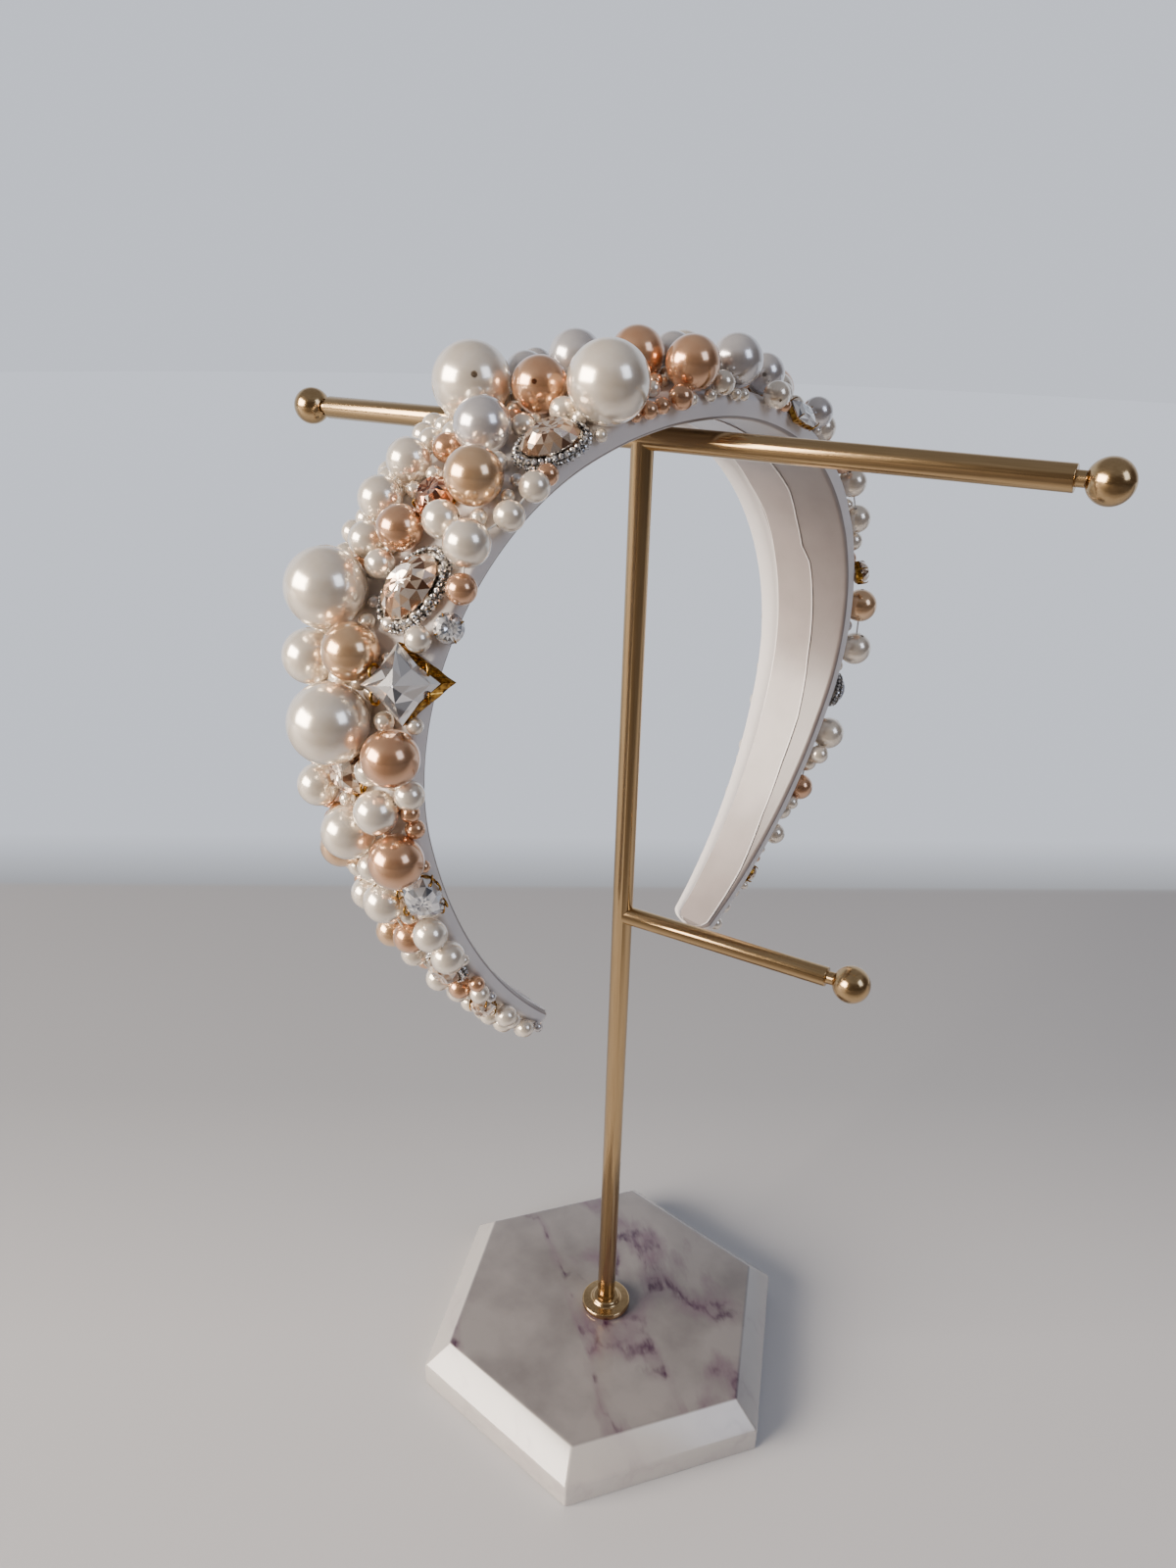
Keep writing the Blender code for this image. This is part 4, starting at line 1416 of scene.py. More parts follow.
    def build_ball(self, node: str, reach: float, height: float) -> None:
        """Ball end with a small flat where the neck goes in."""
        side = math.copysign(1, reach)
        bpy.ops.object.select_all(action="DESELECT")
        bpy.ops.mesh.primitive_uv_sphere_add(
            segments=48, ring_count=28, radius=self.ball_radius, rotation=(0, math.pi / 2, 0)
        )
        ball = bpy.context.active_object
        fix_place(ball)
        with editing(ball):
            choose(ball, "VERT", lambda vert: -side * vert.co.x > self.ball_radius * 0.9999)
            bpy.ops.mesh.dissolve_verts()

            def near_neck(face: bmesh.types.BMFace) -> bool:
                """Whether a face lies where the rod's neck enters the ball."""
                centre = face.calc_center_median()
                return -side * centre.x > 0 and math.hypot(centre.y, centre.z) < 1.9 * MM

            choose(ball, "FACE", near_neck)
            bpy.ops.mesh.extrude_region_move(TRANSFORM_OT_translate={"value": (side * 0.5 * MM, 0, 0)})
        ball.location = (reach, 0, height)
        fix_place(ball)
        pick(ball)
        bpy.ops.object.shade_smooth_by_angle(angle=math.radians(35))
        dress(ball, ROD_TURNED)
        hand_over(join(f"{node}_finish", [ball]), "brushed_gold", node)


@dataclass
class PaddedBand:
    """The padded satin band and the ribbon that lines it."""

    stations: int = 300
    corner: float = 1.1 * MM
    roll: float = 0.9 * MM
    ribbon_stations: int = 260
    ribbon_columns: int = 12
    ribbon_thickness: float = 0.24 * MM
    ribbon_drop: float = 0.20 * MM

    def build(self) -> None:
        """Build the band and its ribbon."""
        self.build_band()
        self.build_ribbon()

    def section(self, width: float, thickness: float) -> list[tuple[float, float]]:
        """Closed padded section from the middle of its flat side, round the near edge and the dome.

        Args:
            width: The section's full width.
            thickness: The section's full thickness.

        Returns:
            Points as (across, up), where the last meets the first.
        """
        half = width / 2
        corner = min(self.corner, thickness * ARCH.edge_share / 2)
        edge = thickness * ARCH.edge_share
        near = [((half - corner) * step / 14, 0.0) for step in range(14)]
        for step in range(6):
            angle = math.pi / 2 * step / 5
            near.append((half - corner + corner * math.sin(angle), corner - corner * math.cos(angle)))
        near.append((half, (corner + edge) / 2))
        for step in range(15):
            angle = math.pi / 2 * (1 - step / 15)
            near.append((half * math.sin(angle), edge + (thickness - edge) * math.cos(angle)))
        crest = [(0.0, thickness)]
        far = [(-across, up) for across, up in reversed(near)]
        return near + crest + far

    def tip_share(self, along: float) -> float:
        """How far a section is drawn in near a tip, for a rounded end."""
        left = ARCH.half_length - abs(along)
        if left >= ARCH.tip_round:
            return 1.0
        return math.sqrt(max(0.0, 1 - (1 - left / ARCH.tip_round) ** 2)) * 0.9 + 0.1

    def build_band(self) -> None:
        """The band: a grid wrapped round the section along the arch, closed at its seam and tips."""
        columns = len(self.section(1.0, 0.1)) - 1
        bpy.ops.object.select_all(action="DESELECT")
        bpy.ops.mesh.primitive_grid_add(x_subdivisions=self.stations, y_subdivisions=columns, size=2)
        band = bpy.context.active_object
        length = ARCH.half_length
        for vert in band.data.vertices:
            share = vert.co.x
            inner = length - ARCH.tip_round
            reach = abs(share)
            along = inner * reach / 0.96 if reach < 0.96 else inner + ARCH.tip_round * (reach - 0.96) / 0.04
            along = math.copysign(along, share)
            scale = self.tip_share(along)
            step = round((vert.co.y + 1) / 2 * columns)
            width = ARCH.width(along) * scale
            across, up = self.section(width, ARCH.thickness(along))[step]
            if across < 0 and up < self.corner:
                rolled = max(0.0, min(1.0, (-2 * across / width - 0.54) / 0.46))
                up -= self.roll * math.sin(math.pi * rolled**0.7) * scale
            spot = ARCH.place(along, across, up)
            soft = noise.noise(spot / (7 * MM)) * 0.16 * MM * min(1.0, up / (2 * MM))
            outward = (spot - ARCH.place(along, across * 0.5, ARCH.thickness(along) * 0.4)).normalized()
            vert.co = spot + soft * outward
        layer = band.data.uv_layers[0]
        layer.name = "cloth"
        for corner in layer.data:
            corner.uv = (corner.uv.x * 2 * length, corner.uv.y * 2 * ARCH.full_width)
        with editing(band):
            bpy.ops.mesh.select_all(action="SELECT")
            bpy.ops.mesh.remove_doubles(threshold=0.01 * MM)
            choose(band, "EDGE", lambda line: line.is_boundary)
            bpy.ops.mesh.fill_holes(sides=0)
            bpy.ops.mesh.select_all(action="SELECT")
            bpy.ops.mesh.normals_make_consistent(inside=False)
        layer = band.data.uv_layers["cloth"]
        pick(band)
        bpy.ops.object.shade_smooth_by_angle(angle=math.radians(50))
        dress(band, RIBBED_SATIN)
        # The flat inner face takes the darker smooth satin, partly painted shade.
        band.data.materials.append(SMOOTH_SATIN_PAINTED_SHADE.material())
        near_end, far_end = 18.5 / columns, 7.5 / columns
        for face in band.data.polygons:
            turns = [layer.data[corner].uv.y / (2 * ARCH.full_width) for corner in face.loop_indices]
            turn = sum(turns) / len(turns)
            face.material_index = int(turn < near_end or 1 - turn < far_end)
        piece = join("satin_band", [band])
        hand_over(piece, "ribbed_satin", "headband_band")

    def build_ribbon(self) -> None:
        """The lining ribbon, with the wavy edges that gluing left."""
        table = np.array(RIBBON_CHART)
        bpy.ops.object.select_all(action="DESELECT")
        bpy.ops.mesh.primitive_grid_add(
            x_subdivisions=self.ribbon_stations, y_subdivisions=self.ribbon_columns, size=2
        )
        ribbon = bpy.context.active_object
        reach = ARCH.half_length * 0.994
        for vert in ribbon.data.vertices:
            along = reach * vert.co.x
            share = abs(along) / ARCH.half_length
            near = float(np.interp(share, table[:, 0], table[:, 1]))
            far = float(np.interp(share, table[:, 0], table[:, 2]))
            slot = (vert.co.y + 1) / 2
            across = (far + (near - far) * slot) * ARCH.width(along) / 2 * self.tip_share(along)
            ripple = noise.noise(Vector((along / (11 * MM), slot * 1.5, 4.0))) * 0.10 * MM
            vert.co = ARCH.place(along, across, -self.ribbon_drop + ripple)
        layer = ribbon.data.uv_layers[0]
        layer.name = "cloth"
        for corner in layer.data:
            corner.uv = (corner.uv.x * 2 * reach, corner.uv.y * ARCH.full_width / 2)
        modify(ribbon, "SOLIDIFY", thickness=self.ribbon_thickness, offset=0)
        with editing(ribbon):
            bpy.ops.mesh.select_all(action="SELECT")
            bpy.ops.mesh.normals_make_consistent(inside=False)
        pick(ribbon)
        bpy.ops.object.shade_smooth_by_angle(angle=math.radians(40))
        dress(ribbon, RIBBON_SATIN)
        piece = join("lining_ribbon", [ribbon])
        hand_over(piece, "satin_ribbon", "headband_lining")


@dataclass
class Jeweller:
    """Cuts the crystals and makes their settings."""

    crown_share: float = 0.80
    wall: float = 0.35 * MM
    stone_pitch: float = 1.3 * MM
    models: dict = field(default_factory=dict)

    def build(self, crystals: Sequence[CrystalPlace]) -> None:
        """Build every crystal in its setting."""
        self.models = {"rhinestone": self.model_rhinestone(), "claw": self.model_claw(), "loop": self.model_loop()}
        for number, crystal in enumerate(crystals, 1):
            self.build_crystal(number, crystal)
        for model in self.models.values():
            bpy.data.objects.remove(model)

    def shape_to(self, piece: bpy.types.Object, crystal: CrystalPlace, share: float) -> None:
        """Move a piece made on the unit circle out to a share of the crystal's outline."""
        for vert in piece.data.vertices:
            reach = math.hypot(vert.co.x, vert.co.y)
            x, y = crystal.outline(math.atan2(vert.co.y, vert.co.x))
            vert.co.x, vert.co.y = x * reach * share, y * reach * share

    def cut_stone(self, crystal: CrystalPlace) -> bpy.types.Object:
        """The faceted stone: pavilion edge, girdle, twisted crown facets and the table's glitter."""
        shape = crystal.cut.value
        star = crystal.cut is Cut.STAR
        count = 8 if star or crystal.cut is Cut.BAGUETTE else 16
        half_step = math.pi / count
        top = crystal.height
        girdle = crystal.girdle - (0.0 if crystal.cut in (Cut.STAR, Cut.OVAL) else 0.6 * MM)
        bpy.ops.object.select_all(action="DESELECT")
        bpy.ops.mesh.primitive_circle_add(
            vertices=count, radius=0.8, fill_type="NGON", location=(0, 0, girdle - 1.2 * MM),
            rotation=(0, 0, -math.pi / 2),
        )
        stone = bpy.context.active_object
        fix_place(stone)
        levels = [(1.0, girdle - 0.35 * MM, 0), (1.0, girdle, 0)]
        if star:
            rise = top - girdle
            levels += [(0.82, girdle + 0.34 * rise, 0), (0.42, girdle + 0.80 * rise, 0), (0.04, top, 0)]
        elif crystal.cut is Cut.BAGUETTE:
            levels += [(0.80, girdle + 0.55 * (top - girdle), 0), (0.58, top, 0), (0.30, top - 0.1 * MM, 0)]
        else:
            levels += [
                (self.crown_share, girdle + 0.58 * (top - girdle), 1),
                (shape.table, top, 1),
                (shape.table * 0.62, top - 0.10 * MM, 1),
                (shape.table * 0.20, top - 0.28 * MM, 1),
            ]
        with editing(stone):
            bpy.ops.mesh.select_mode(type="FACE")
            bpy.ops.mesh.select_all(action="SELECT")
            share, height = 0.8, girdle - 1.2 * MM
            for next_share, next_height, steps in levels:
                raise_top(next_height - height, next_share / share, steps * half_step)
                share, height = next_share, next_height
            bpy.ops.mesh.select_all(action="SELECT")
            bpy.ops.mesh.normals_make_consistent(inside=False)
            bpy.ops.mesh.quads_convert_to_tris()
        self.shape_to(stone, crystal, shape.stone if crystal.cut is Cut.OVAL else 0.94)
        return dress(stone, FOIL_FINISHES[crystal.foil])

    def cast_cup(self, crystal: CrystalPlace, finish: Finish, rim: float) -> bpy.types.Object:
        """The open cup that the stone sits in, with a row of pierced windows in its wall."""
        bpy.ops.object.select_all(action="DESELECT")
        bpy.ops.mesh.primitive_circle_add(vertices=32, radius=0.80, fill_type="NGON")
        cup = bpy.context.active_object
        with editing(cup):
            bpy.ops.mesh.select_mode(type="FACE")
            bpy.ops.mesh.select_all(action="SELECT")
            raise_top(0.5 * MM, 0.92 / 0.80)
            raise_top(rim - 0.5 * MM, 0.98 / 0.92)
            raise_top(0.0, 0.90)
            raise_top(-0.5 * MM, 0.97)
            bpy.ops.mesh.select_all(action="SELECT")
            bpy.ops.mesh.normals_make_consistent(inside=False)
        self.shape_to(cup, crystal, 0.96)
        with editing(cup):
            mid = (0.5 * MM + rim) / 2

            def in_wall(face: bmesh.types.BMFace) -> bool:
                """Whether a face is every other one of the cup's upper wall."""
                centre = face.calc_center_median()
                return abs(centre.z - mid) < 0.2 * MM and face.index % 2 == 0 and abs(face.normal.z) < 0.7

            choose(cup, "FACE", in_wall)
            bpy.ops.mesh.inset(thickness=0.10 * MM, depth=-0.22 * MM, use_individual=True)
        return dress(cup, finish)

    def model_rhinestone(self) -> bpy.types.Object:
        """One tiny stone of unit radius in its silver cup."""
        bpy.ops.object.select_all(action="DESELECT")
        bpy.ops.mesh.primitive_circle_add(vertices=8, radius=0.86, fill_type="NGON", location=(0, 0, 0.1))
        stone = bpy.context.active_object
        fix_place(stone)
        with editing(stone):
            bpy.ops.mesh.select_mode(type="FACE")
            bpy.ops.mesh.select_all(action="SELECT")
            raise_top(0.25, 1.0)
            raise_top(0.32, 0.74, math.pi / 8)
            raise_top(0.14, 0.62, math.pi / 8)
        dress(stone, RHINESTONE)
        bpy.ops.mesh.primitive_circle_add(vertices=8, radius=0.8, fill_type="NGON", location=(0, 0, -0.5))
        cup = bpy.context.active_object
        fix_place(cup)
        with editing(cup):
            bpy.ops.mesh.select_mode(type="FACE")
            bpy.ops.mesh.select_all(action="SELECT")
            raise_top(0.7, 1.25)
            raise_top(0.0, 0.8)
        parts = [stone, dress(cup, SILVER_CAST)]
        for quarter in range(4):
            bpy.ops.mesh.primitive_cone_add(
                vertices=4,
                radius1=0.2,
                radius2=0.08,
                depth=0.6,
                location=(0.88 * math.cos(quarter * math.pi / 2), 0.88 * math.sin(quarter * math.pi / 2), 0.42),
            )
            parts.append(dress(bpy.context.active_object, SILVER_CAST))
            fix_place(parts[-1])
        model = join("rhinestone_model", [parts[0]] + parts[1:])
        fix_place(model)
        return model

    def model_claw(self) -> bpy.types.Object:
        """One claw, 3.2 mm tall, that bends over the stone towards -X."""
        bpy.ops.object.select_all(action="DESELECT")
        bpy.ops.mesh.primitive_circle_add(vertices=8, radius=0.38 * MM, fill_type="NGON")
        claw = bpy.context.active_object
        with editing(claw):
            bpy.ops.mesh.select_mode(type="FACE")
            bpy.ops.mesh.select_all(action="SELECT")
            at = Vector((0, 0, 0))
            for step, rise, share in (
                (0.10, 1.3, 0.92),
                (0.0, 1.0, 0.95),
                (-0.22, 0.5, 0.92),
                (-0.42, 0.28, 0.85),
                (-0.38, 0.08, 0.7),
            ):
                move = Vector((step, 0, rise)) * MM
                at += move
                bpy.ops.mesh.extrude_region_move(TRANSFORM_OT_translate={"value": tuple(move)})
                bpy.ops.transform.resize(value=(share, share, share), center_override=tuple(at))
        modify(claw, "SUBSURF", levels=1, render_levels=1)
        pick(claw)
        bpy.ops.object.shade_smooth()
        claw.name = "claw_model"
        return dress(claw, GOLD_CAST)

    def model_loop(self) -> bpy.types.Object:
        """One wire loop that stands up on its edge, where the thread goes through."""
        bpy.ops.object.select_all(action="DESELECT")
        bpy.ops.mesh.primitive_torus_add(
            major_radius=1.15 * MM,
            minor_radius=0.3 * MM,
            major_segments=20,
            minor_segments=8,
        )
        loop = bpy.context.active_object
        with editing(loop):
            bpy.ops.mesh.select_all(action="SELECT")
            bpy.ops.transform.resize(value=(1.25, 1, 1), center_override=(0, 0, 0))
        pick(loop)
        bpy.ops.object.shade_smooth()
        loop.name = "loop_model"
        return dress(loop, GOLD_CAST)

    def rim_places(self, crystal: CrystalPlace, share: float, pitch: float) -> list[tuple[Vector, Vector]]:
        """Evenly spaced points round the outline, each with its outward direction.

        Args:
            crystal: Whose outline it is.
            share: The share of the outline's size.
            pitch: The spacing wanted.

        Returns:
            Points and directions in the setting's own frame.
        """
        fine = [Vector((*crystal.outline(TURN * step / 360), 0)) * share for step in range(360)]
        steps = [(fine[(k + 1) % 360] - fine[k]).length for k in range(360)]
        total = sum(steps)
        count = round(total / pitch)
        places = []
        for number in range(count):
            left = total * number / count
            spot = 0
            while left > steps[spot]:
                left -= steps[spot]
                spot += 1
            tangent = (fine[(spot + 1) % 360] - fine[spot]).normalized()
            places.append((fine[spot] + tangent * left, Vector((tangent.y, -tangent.x, 0))))
        return places

    def add_halo(self, crystal: CrystalPlace) -> list[bpy.types.Object]:
        """Two rows of rhinestones round an oval, the lower one facing out and the upper one up."""
        parts = []
        pitch = self.stone_pitch if crystal.length > 15 * MM else self.stone_pitch * 0.8
        for share, height, tilt in ((0.93, 0.75 * MM, 78), (0.865, 1.75 * MM, 32)):
            lean = math.radians(tilt)
            for spot, out in self.rim_places(crystal, share, pitch):
                axis = math.sin(lean) * out + math.cos(lean) * Vector((0, 0, 1))
                origin = spot + Vector((0, 0, height))
                place = frame_at(origin, axis) @ Matrix.Scale(pitch * 0.52, 4)
                parts.append(copy_at(self.models["rhinestone"], place))
        return parts

    def add_claws(self, crystal: CrystalPlace) -> list[bpy.types.Object]:
        """Claws over the girdle, at the corners of a cornered cut and between them elsewhere."""
        count = crystal.cut.value.claws
        first = math.pi / 4
        parts = []
        small = min(crystal.length, crystal.width) / (11 * MM)
        for number in range(count):
            angle = first + TURN * number / count
            x, y = crystal.outline(angle)
            out = math.atan2(y, x)
            size = Matrix.Diagonal((small, small, (crystal.girdle + 0.6 * MM) / (3.16 * MM), 1))
            place = Matrix.Translation((x * 0.93, y * 0.93, 0.2 * MM)) @ Matrix.Rotation(out, 4, "Z") @ size
            parts.append(copy_at(self.models["claw"], place))
        return parts

    def add_loops(self, crystal: CrystalPlace) -> list[bpy.types.Object]:
        """Two wire loops on the near side of a large claw setting."""
        parts = []
        small = min(1.0, min(crystal.length, crystal.width) / (12 * MM))
        for degrees in (66, 114, 246, 294):
            x, y = crystal.outline(math.radians(degrees))
            stand_up = Matrix.Rotation(math.radians(60), 4, "X") if y > 0 else Matrix.Rotation(math.radians(-60), 4, "X")
            place = Matrix.Translation((x * 0.98, y * 0.98, crystal.girdle * 0.75)) @ stand_up
            parts.append(copy_at(self.models["loop"], place @ Matrix.Scale(small, 4)))
        return parts

    def build_crystal(self, number: int, crystal: CrystalPlace) -> None:
        """Stone, cup and holders as one piece in place of the CAD node."""
        halo = crystal.cut.value.mount is Mount.HALO
        parts = [self.cut_stone(crystal)]
        if halo:
            parts.append(self.cast_cup(crystal, SILVER_CAST, 1.5 * MM))
            self.shrink(parts[-1], 0.86)
            parts += self.add_halo(crystal)
        else:
            low = 0.3 * MM if crystal.cut is Cut.STAR else 0.9 * MM
            cup = self.cast_cup(crystal, GOLD_CAST, crystal.girdle - low)
            if crystal.cut is Cut.STAR:
                self.spread(cup, crystal.girdle)
            parts.append(cup)
            parts += self.add_claws(crystal)
            if crystal.cut in (Cut.STAR, Cut.CUSHION):
                parts += self.add_loops(crystal)
        name = crystal.cut.name.lower()
        piece = join(f"set_{name}_{number:02d}", parts)
        add_painted_glints(piece, number)
        piece.data.transform(crystal.frame)
        hand_over(piece, crystal.foil.value, f"crystal_{name}_{number:02d}")

    def spread(self, cup: bpy.types.Object, height: float) -> None:
        """Slant a cup's near wall so that its foot reaches 3.6 mm further towards the near edge."""
        for vert in cup.data.vertices:
            near = max(0.0, min(1.0, 0.35 - vert.co.y / (6 * MM)))
            vert.co.y -= 3.6 * MM * near * max(0.0, 1 - vert.co.z / height)

    def shrink(self, piece: bpy.types.Object, share: float) -> None:
        """Draw a piece in towards the setting's axis."""
        piece.data.transform(Matrix.Diagonal((share, share, 1, 1)))


@dataclass
class PearlStringer:
    """Drills the pearls, strings the sprays and sews on the fine and seed pearls."""

    thread_radius: float = 0.18 * MM
    models: dict = field(default_factory=dict)

    def build(self, trim: Trim) -> None:
        """Build every pearl."""
        self.models = {
            "grand": self.drill_ball("grand", 64, 32),
            "large": self.drill_ball("large", 48, 28),
            "small": self.drill_ball("small", 36, 24),
            "fine": self.drill_ball("fine", 24, 16),
            "seed": self.drill_ball("seed", 14, 10),
            "thread": self.make_thread(),
        }
        dice = random.Random(3)
        for number, (pearl, row) in enumerate(zip(trim.loose, PEARL_CHART), 1):
            self.build_loose(number, pearl, row[0], dice)
        for number, spray in enumerate(trim.sprays, 1):
            self.build_spray(number, spray, dice)
        self.build_fine("fine_pearls", trim.fine, dice)
        for name, side in (("seed_pearls_left", -1), ("seed_pearls_right", 1)):
            self.build_fine(name, [seed for seed in trim.fillers if seed.along * side >= 0], dice)
        for model in self.models.values():
            bpy.data.objects.remove(model)

    def drill_ball(self, name: str, segments: int, rings: int) -> bpy.types.Object:
        """A ball of unit radius, drilled through along Z.

        Args:
            name: What the model is called.
            segments: Its faces round.
            rings: Its faces from pole to pole. The hole is three quarters of the first ring.

        Returns:
            The ball.
        """
        bpy.ops.object.select_all(action="DESELECT")
        bpy.ops.mesh.primitive_uv_sphere_add(segments=segments, ring_count=rings, radius=1.0)
        ball = bpy.context.active_object
        cap = math.sin(math.pi / rings)
        with editing(ball):
            for side in (1, -1):
                choose(ball, "VERT", lambda vert, side=side: vert.co.z * side > 0.99999)
                bpy.ops.mesh.dissolve_verts()
                choose(ball, "FACE", lambda face, side=side: face.normal.z * side > 0.99999)
                bpy.ops.mesh.inset(thickness=0.18 * cap)
                for depth in (0.05, 0.35):
                    bpy.ops.mesh.extrude_region_move(TRANSFORM_OT_translate={"value": (0, 0, -side * depth)})
        pick(ball)
        bpy.ops.object.shade_smooth_by_angle(angle=math.radians(50))
        ball.name = name + "_pearl_model"
        return ball

    def make_thread(self) -> bpy.types.Object:
        """A stretch of thread of unit length along Z, a little thicker in the middle where it is knotted."""
        bpy.ops.object.select_all(action="DESELECT")
        bpy.ops.mesh.primitive_cylinder_add(vertices=8, radius=1.0, depth=1.0, location=(0, 0, 0.5))
        thread = bpy.context.active_object
        fix_place(thread)
        with editing(thread):
            choose(thread, "EDGE", lambda line: abs((line.verts[0].co - line.verts[1].co).z) > 0.5)
            bpy.ops.mesh.subdivide(number_cuts=3)
            choose(thread, "VERT", lambda vert: abs(vert.co.z - 0.5) < 0.01)
            bpy.ops.transform.resize(value=(1.3, 1.3, 1), center_override=(0, 0, 0.5))
        thread.name = "thread_model"
        return dress(thread, NYLON)

    def place_ball(self, pearl: PearlPlace, axis: Vector) -> bpy.types.Object:
        """A copy of the right model at a pearl's place, drilled along an axis."""
        if pearl.radius > 7 * MM:
            model = self.models["grand"]
        elif pearl.radius > 5 * MM:
            model = self.models["large"]
        elif pearl.gap > 0.2 * MM:
            model = self.models["small"]
        elif pearl.radius > 1.9 * MM:
            model = self.models["fine"]
        else:
            model = self.models["seed"]
        place = frame_at(pearl.centre, axis) @ Matrix.Scale(pearl.radius, 4)
        return copy_at(model, place, PEARL_FINISHES[pearl.tint])

    @staticmethod
    def sideways(pearl: PearlPlace, dice: random.Random) -> Vector:
        """A direction for the drill hole, turned away from the viewer and nearly flat on the band."""
        _, forward, outward = ARCH.axes(pearl.along)
        sight = (VIEWER - pearl.centre).normalized()
        flat = sight.cross(outward).normalized()
        return flat + dice.uniform(-0.5, 0.5) * forward.cross(sight) + dice.uniform(-0.25, 0.25) * outward

    def build_loose(self, number: int, pearl: PearlPlace, size: str, dice: random.Random) -> None:
        """One large pearl. The holes of two of them face the viewer, as in the photo."""
        axis = self.sideways(pearl, dice)
        if number == 1:
            axis = VIEWER - pearl.centre + Vector((0.02, 0, 0.045))
        if number == 5:
            axis = VIEWER - pearl.centre + Vector((-0.05, 0, 0.02))
        piece = join(f"{size}_pearl_{number:02d}", [self.place_ball(pearl, axis)])
        hand_over(piece, f"pearl_{pearl.tint.value}", f"pearl_{size}_{number:02d}")
        low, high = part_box(f"pearl_{size}_{number:02d}")
        drift = ((low + high) / 2 - pearl.centre).length
        if drift > 0.1 * MM:
            LOG.warning("%s lies %.2f mm from its CAD node", piece.name, drift / MM)

    def build_spray(self, number: int, spray: Sequence[PearlPlace], dice: random.Random) -> None:
        """A string of small pearls on its thread, each drilled along it."""
        centres = [pearl.centre for pearl in spray]
        parts = []
        for index, pearl in enumerate(spray):
            before, after = centres[max(0, index - 1)], centres[min(len(spray) - 1, index + 1)]
            parts.append(self.place_ball(pearl, after - before))
        for first, second in zip(centres, centres[1:]):
            length = (second - first).length
            size = Matrix.Diagonal((self.thread_radius, self.thread_radius, length, 1))
            parts.append(copy_at(self.models["thread"], frame_at(first, second - first) @ size))
        piece = join(f"string_{number:02d}", parts)
        hand_over(piece, f"pearl_{spray[0].tint.value}", f"spray_{number:02d}")

    def build_fine(self, name: str, pearls: Sequence[PearlPlace], dice: random.Random) -> None:
        """A group of fine pearls as one piece."""
        parts = [self.place_ball(pearl, self.sideways(pearl, dice)) for pearl in pearls]
        hand_over(join(name, parts), "pearl_ivory")


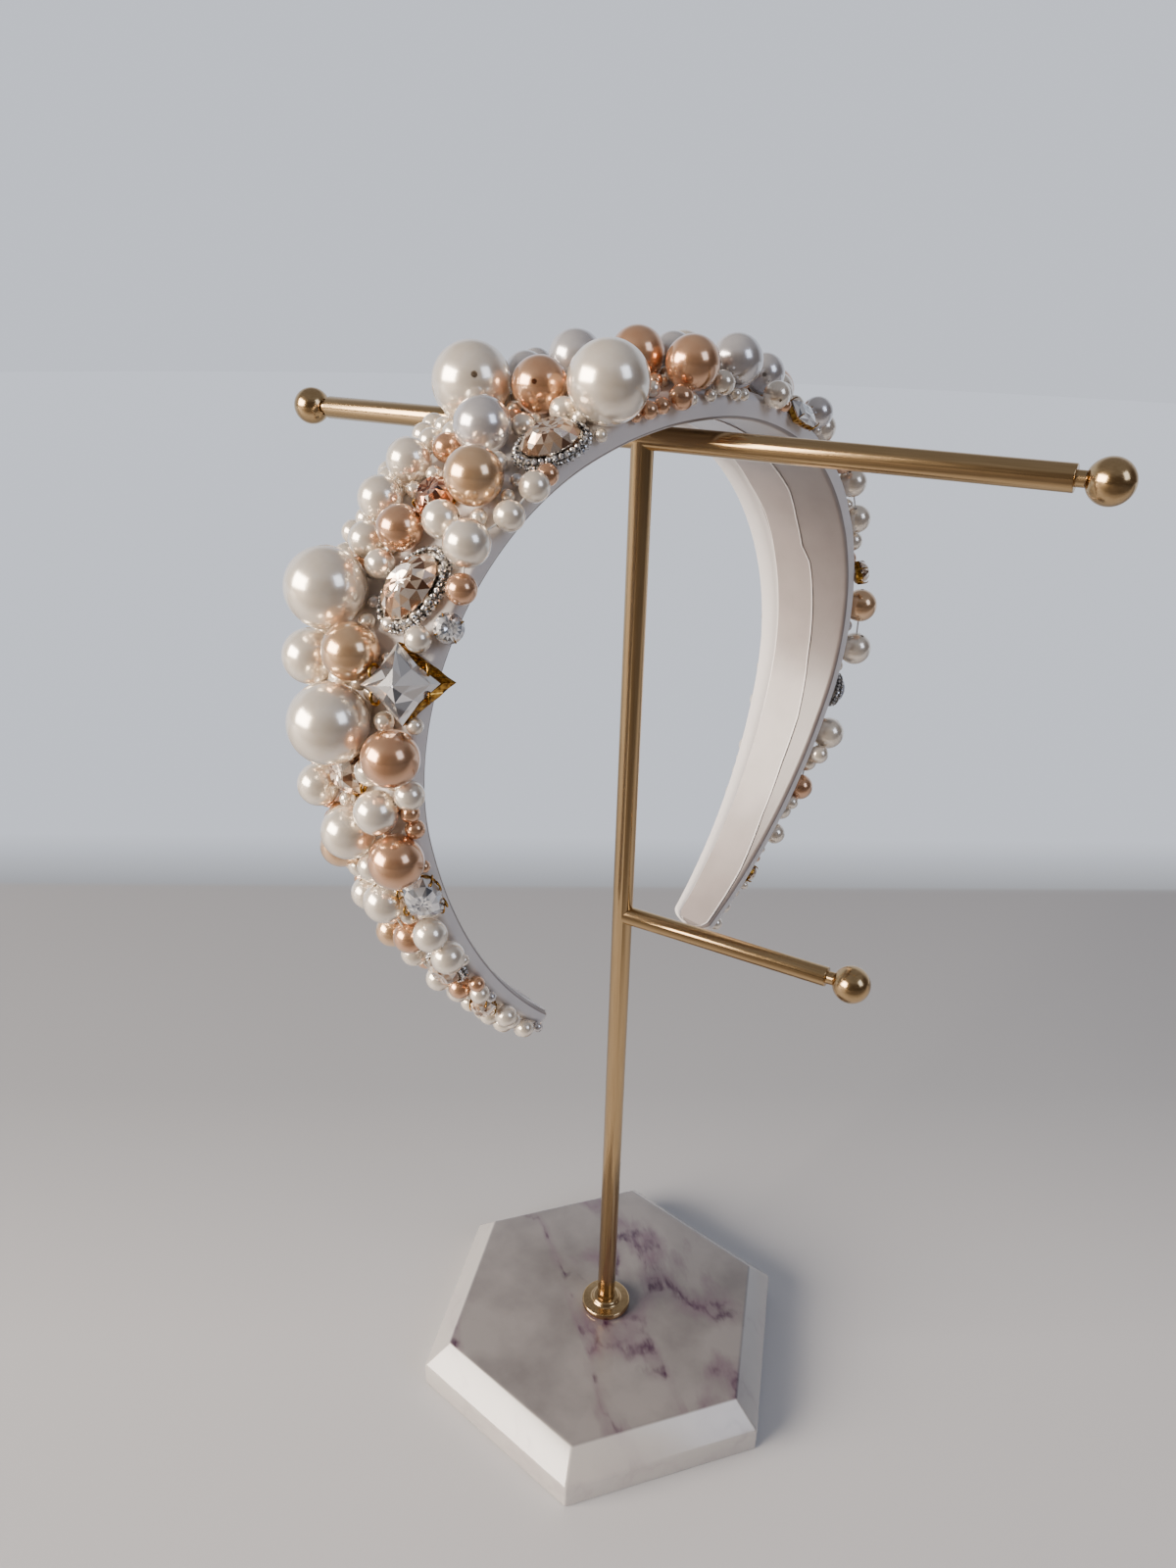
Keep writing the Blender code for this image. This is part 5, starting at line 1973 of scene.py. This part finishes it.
@dataclass
class Studio:
    """Camera at the photo's view, soft window-like lights and a pale floor with painted shade and a glowing
    painted wall.
    """

    yaw: float = math.radians(-29.54)
    pitch: float = math.radians(23.59)
    roll: float = math.radians(1.58)
    lens: float = 26.286

    def build(self) -> None:
        """Set the whole studio."""
        self.set_camera()
        self.set_lights()
        self.set_world()
        self.lay_floor()

    def set_camera(self) -> None:
        """The camera, with its frame's height as the sensor's long side."""
        ahead = Vector(
            (
                math.sin(self.yaw) * math.cos(self.pitch),
                math.cos(self.yaw) * math.cos(self.pitch),
                -math.sin(self.pitch),
            )
        )
        level = Vector((math.cos(self.yaw), -math.sin(self.yaw), 0))
        above = level.cross(ahead)
        right = level * math.cos(self.roll) + above * math.sin(self.roll)
        up = above * math.cos(self.roll) - level * math.sin(self.roll)
        settings = bpy.data.cameras.new("photo_camera")
        settings.sensor_fit = "VERTICAL"
        settings.sensor_height = 36.0
        settings.lens = self.lens
        settings.clip_start = 0.01
        camera = bpy.data.objects.new("photo_camera", settings)
        bpy.context.scene.collection.objects.link(camera)
        camera.matrix_world = Matrix.Translation(VIEWER) @ Matrix((right, up, -ahead)).transposed().to_4x4()
        bpy.context.scene.camera = camera

    @staticmethod
    def shine(light: bpy.types.Light, colour: str, place: Vector) -> None:
        """Put a light at a place, looking at the headband."""
        light.color = srgb(colour)[:3]
        lamp = bpy.data.objects.new(light.name, light)
        bpy.context.scene.collection.objects.link(lamp)
        aim = Vector((0, 0, 0.19)) - place
        lamp.matrix_world = Matrix.Translation(place) @ aim.to_track_quat("-Z", "Y").to_matrix().to_4x4()

    def add_window(
        self, name: str, toward: Vector, reach: float, size: tuple[float, float], watts: float, colour: str
    ) -> None:
        """A rectangular soft light, like a window, some way off in one direction."""
        light = bpy.data.lights.new(name, "AREA")
        light.shape = "RECTANGLE"
        light.size, light.size_y = size
        light.energy = watts
        self.shine(light, colour, toward.normalized() * reach)

    def set_lights(self) -> None:
        """A wide low window on the left, and a smaller cool one on the right."""
        self.add_window("window_left", Vector((-0.549, -0.755, 0.375)), 2.7, (2.0, 1.3), 190, "#FFF2E4")
        self.add_window("window_right", Vector((0.815, -0.133, 0.547)), 2.2, (0.8, 1.0), 10, "#D6E4FF")

    @staticmethod
    def set_world() -> None:
        """A pale wall behind the headband, a dark room behind the camera, and a dim ceiling."""
        world = bpy.data.worlds.new("pale_room")
        world.use_nodes = True
        bpy.context.scene.world = world
        tree = world.node_tree
        tree.nodes.clear()
        where = add_node(tree, "TexCoord").outputs["Generated"]
        shares = []
        for toward, low, high in (((-0.57, 0.82, 0), 0.05, 0.72), ((0, 0, 1), 0.40, 0.75)):
            part = add_node(tree, "VectorMath", {0: where, 1: toward}, operation="DOT_PRODUCT")
            share = add_node(
                tree,
                "MapRange",
                {"Value": part.outputs["Value"], "From Min": low, "From Max": high},
                interpolation_type="SMOOTHSTEP",
            )
            shares.append(share.outputs["Result"])
        room = add_node(tree, "Mix", {0: shares[0], 6: srgb("#544C47"), 7: srgb(WALL_TONE)}, data_type="RGBA")
        sky = add_node(tree, "Mix", {0: shares[1], 6: room.outputs[2], 7: srgb("#828184")}, data_type="RGBA")
        light = add_node(tree, "Background", {"Color": sky.outputs[2], "Strength": ROOM_LIGHT})
        add_node(tree, "OutputWorld", {"Surface": light.outputs[0]})

    @staticmethod
    def lay_floor() -> None:
        """The pale floor with its painted shade and glowing painted wall, laid a hair under the marble foot."""
        bpy.ops.object.select_all(action="DESELECT")
        bpy.ops.mesh.primitive_circle_add(vertices=96, radius=4.0, fill_type="NGON", location=(0, 0, -0.0001))
        floor = bpy.context.active_object
        fix_place(floor)
        floor.name = "floor"
        dress(floor, FLOOR)


def main() -> None:
    """Build and dress everything in order."""
    logging.basicConfig(level=logging.INFO, format="%(name)s: %(message)s")
    trim = Trim()
    Jeweller().build(trim.crystals)
    PearlStringer().build(trim)
    Stand().build()
    PaddedBand().build()
    Studio().build()


if __name__ == "__main__":
    main()
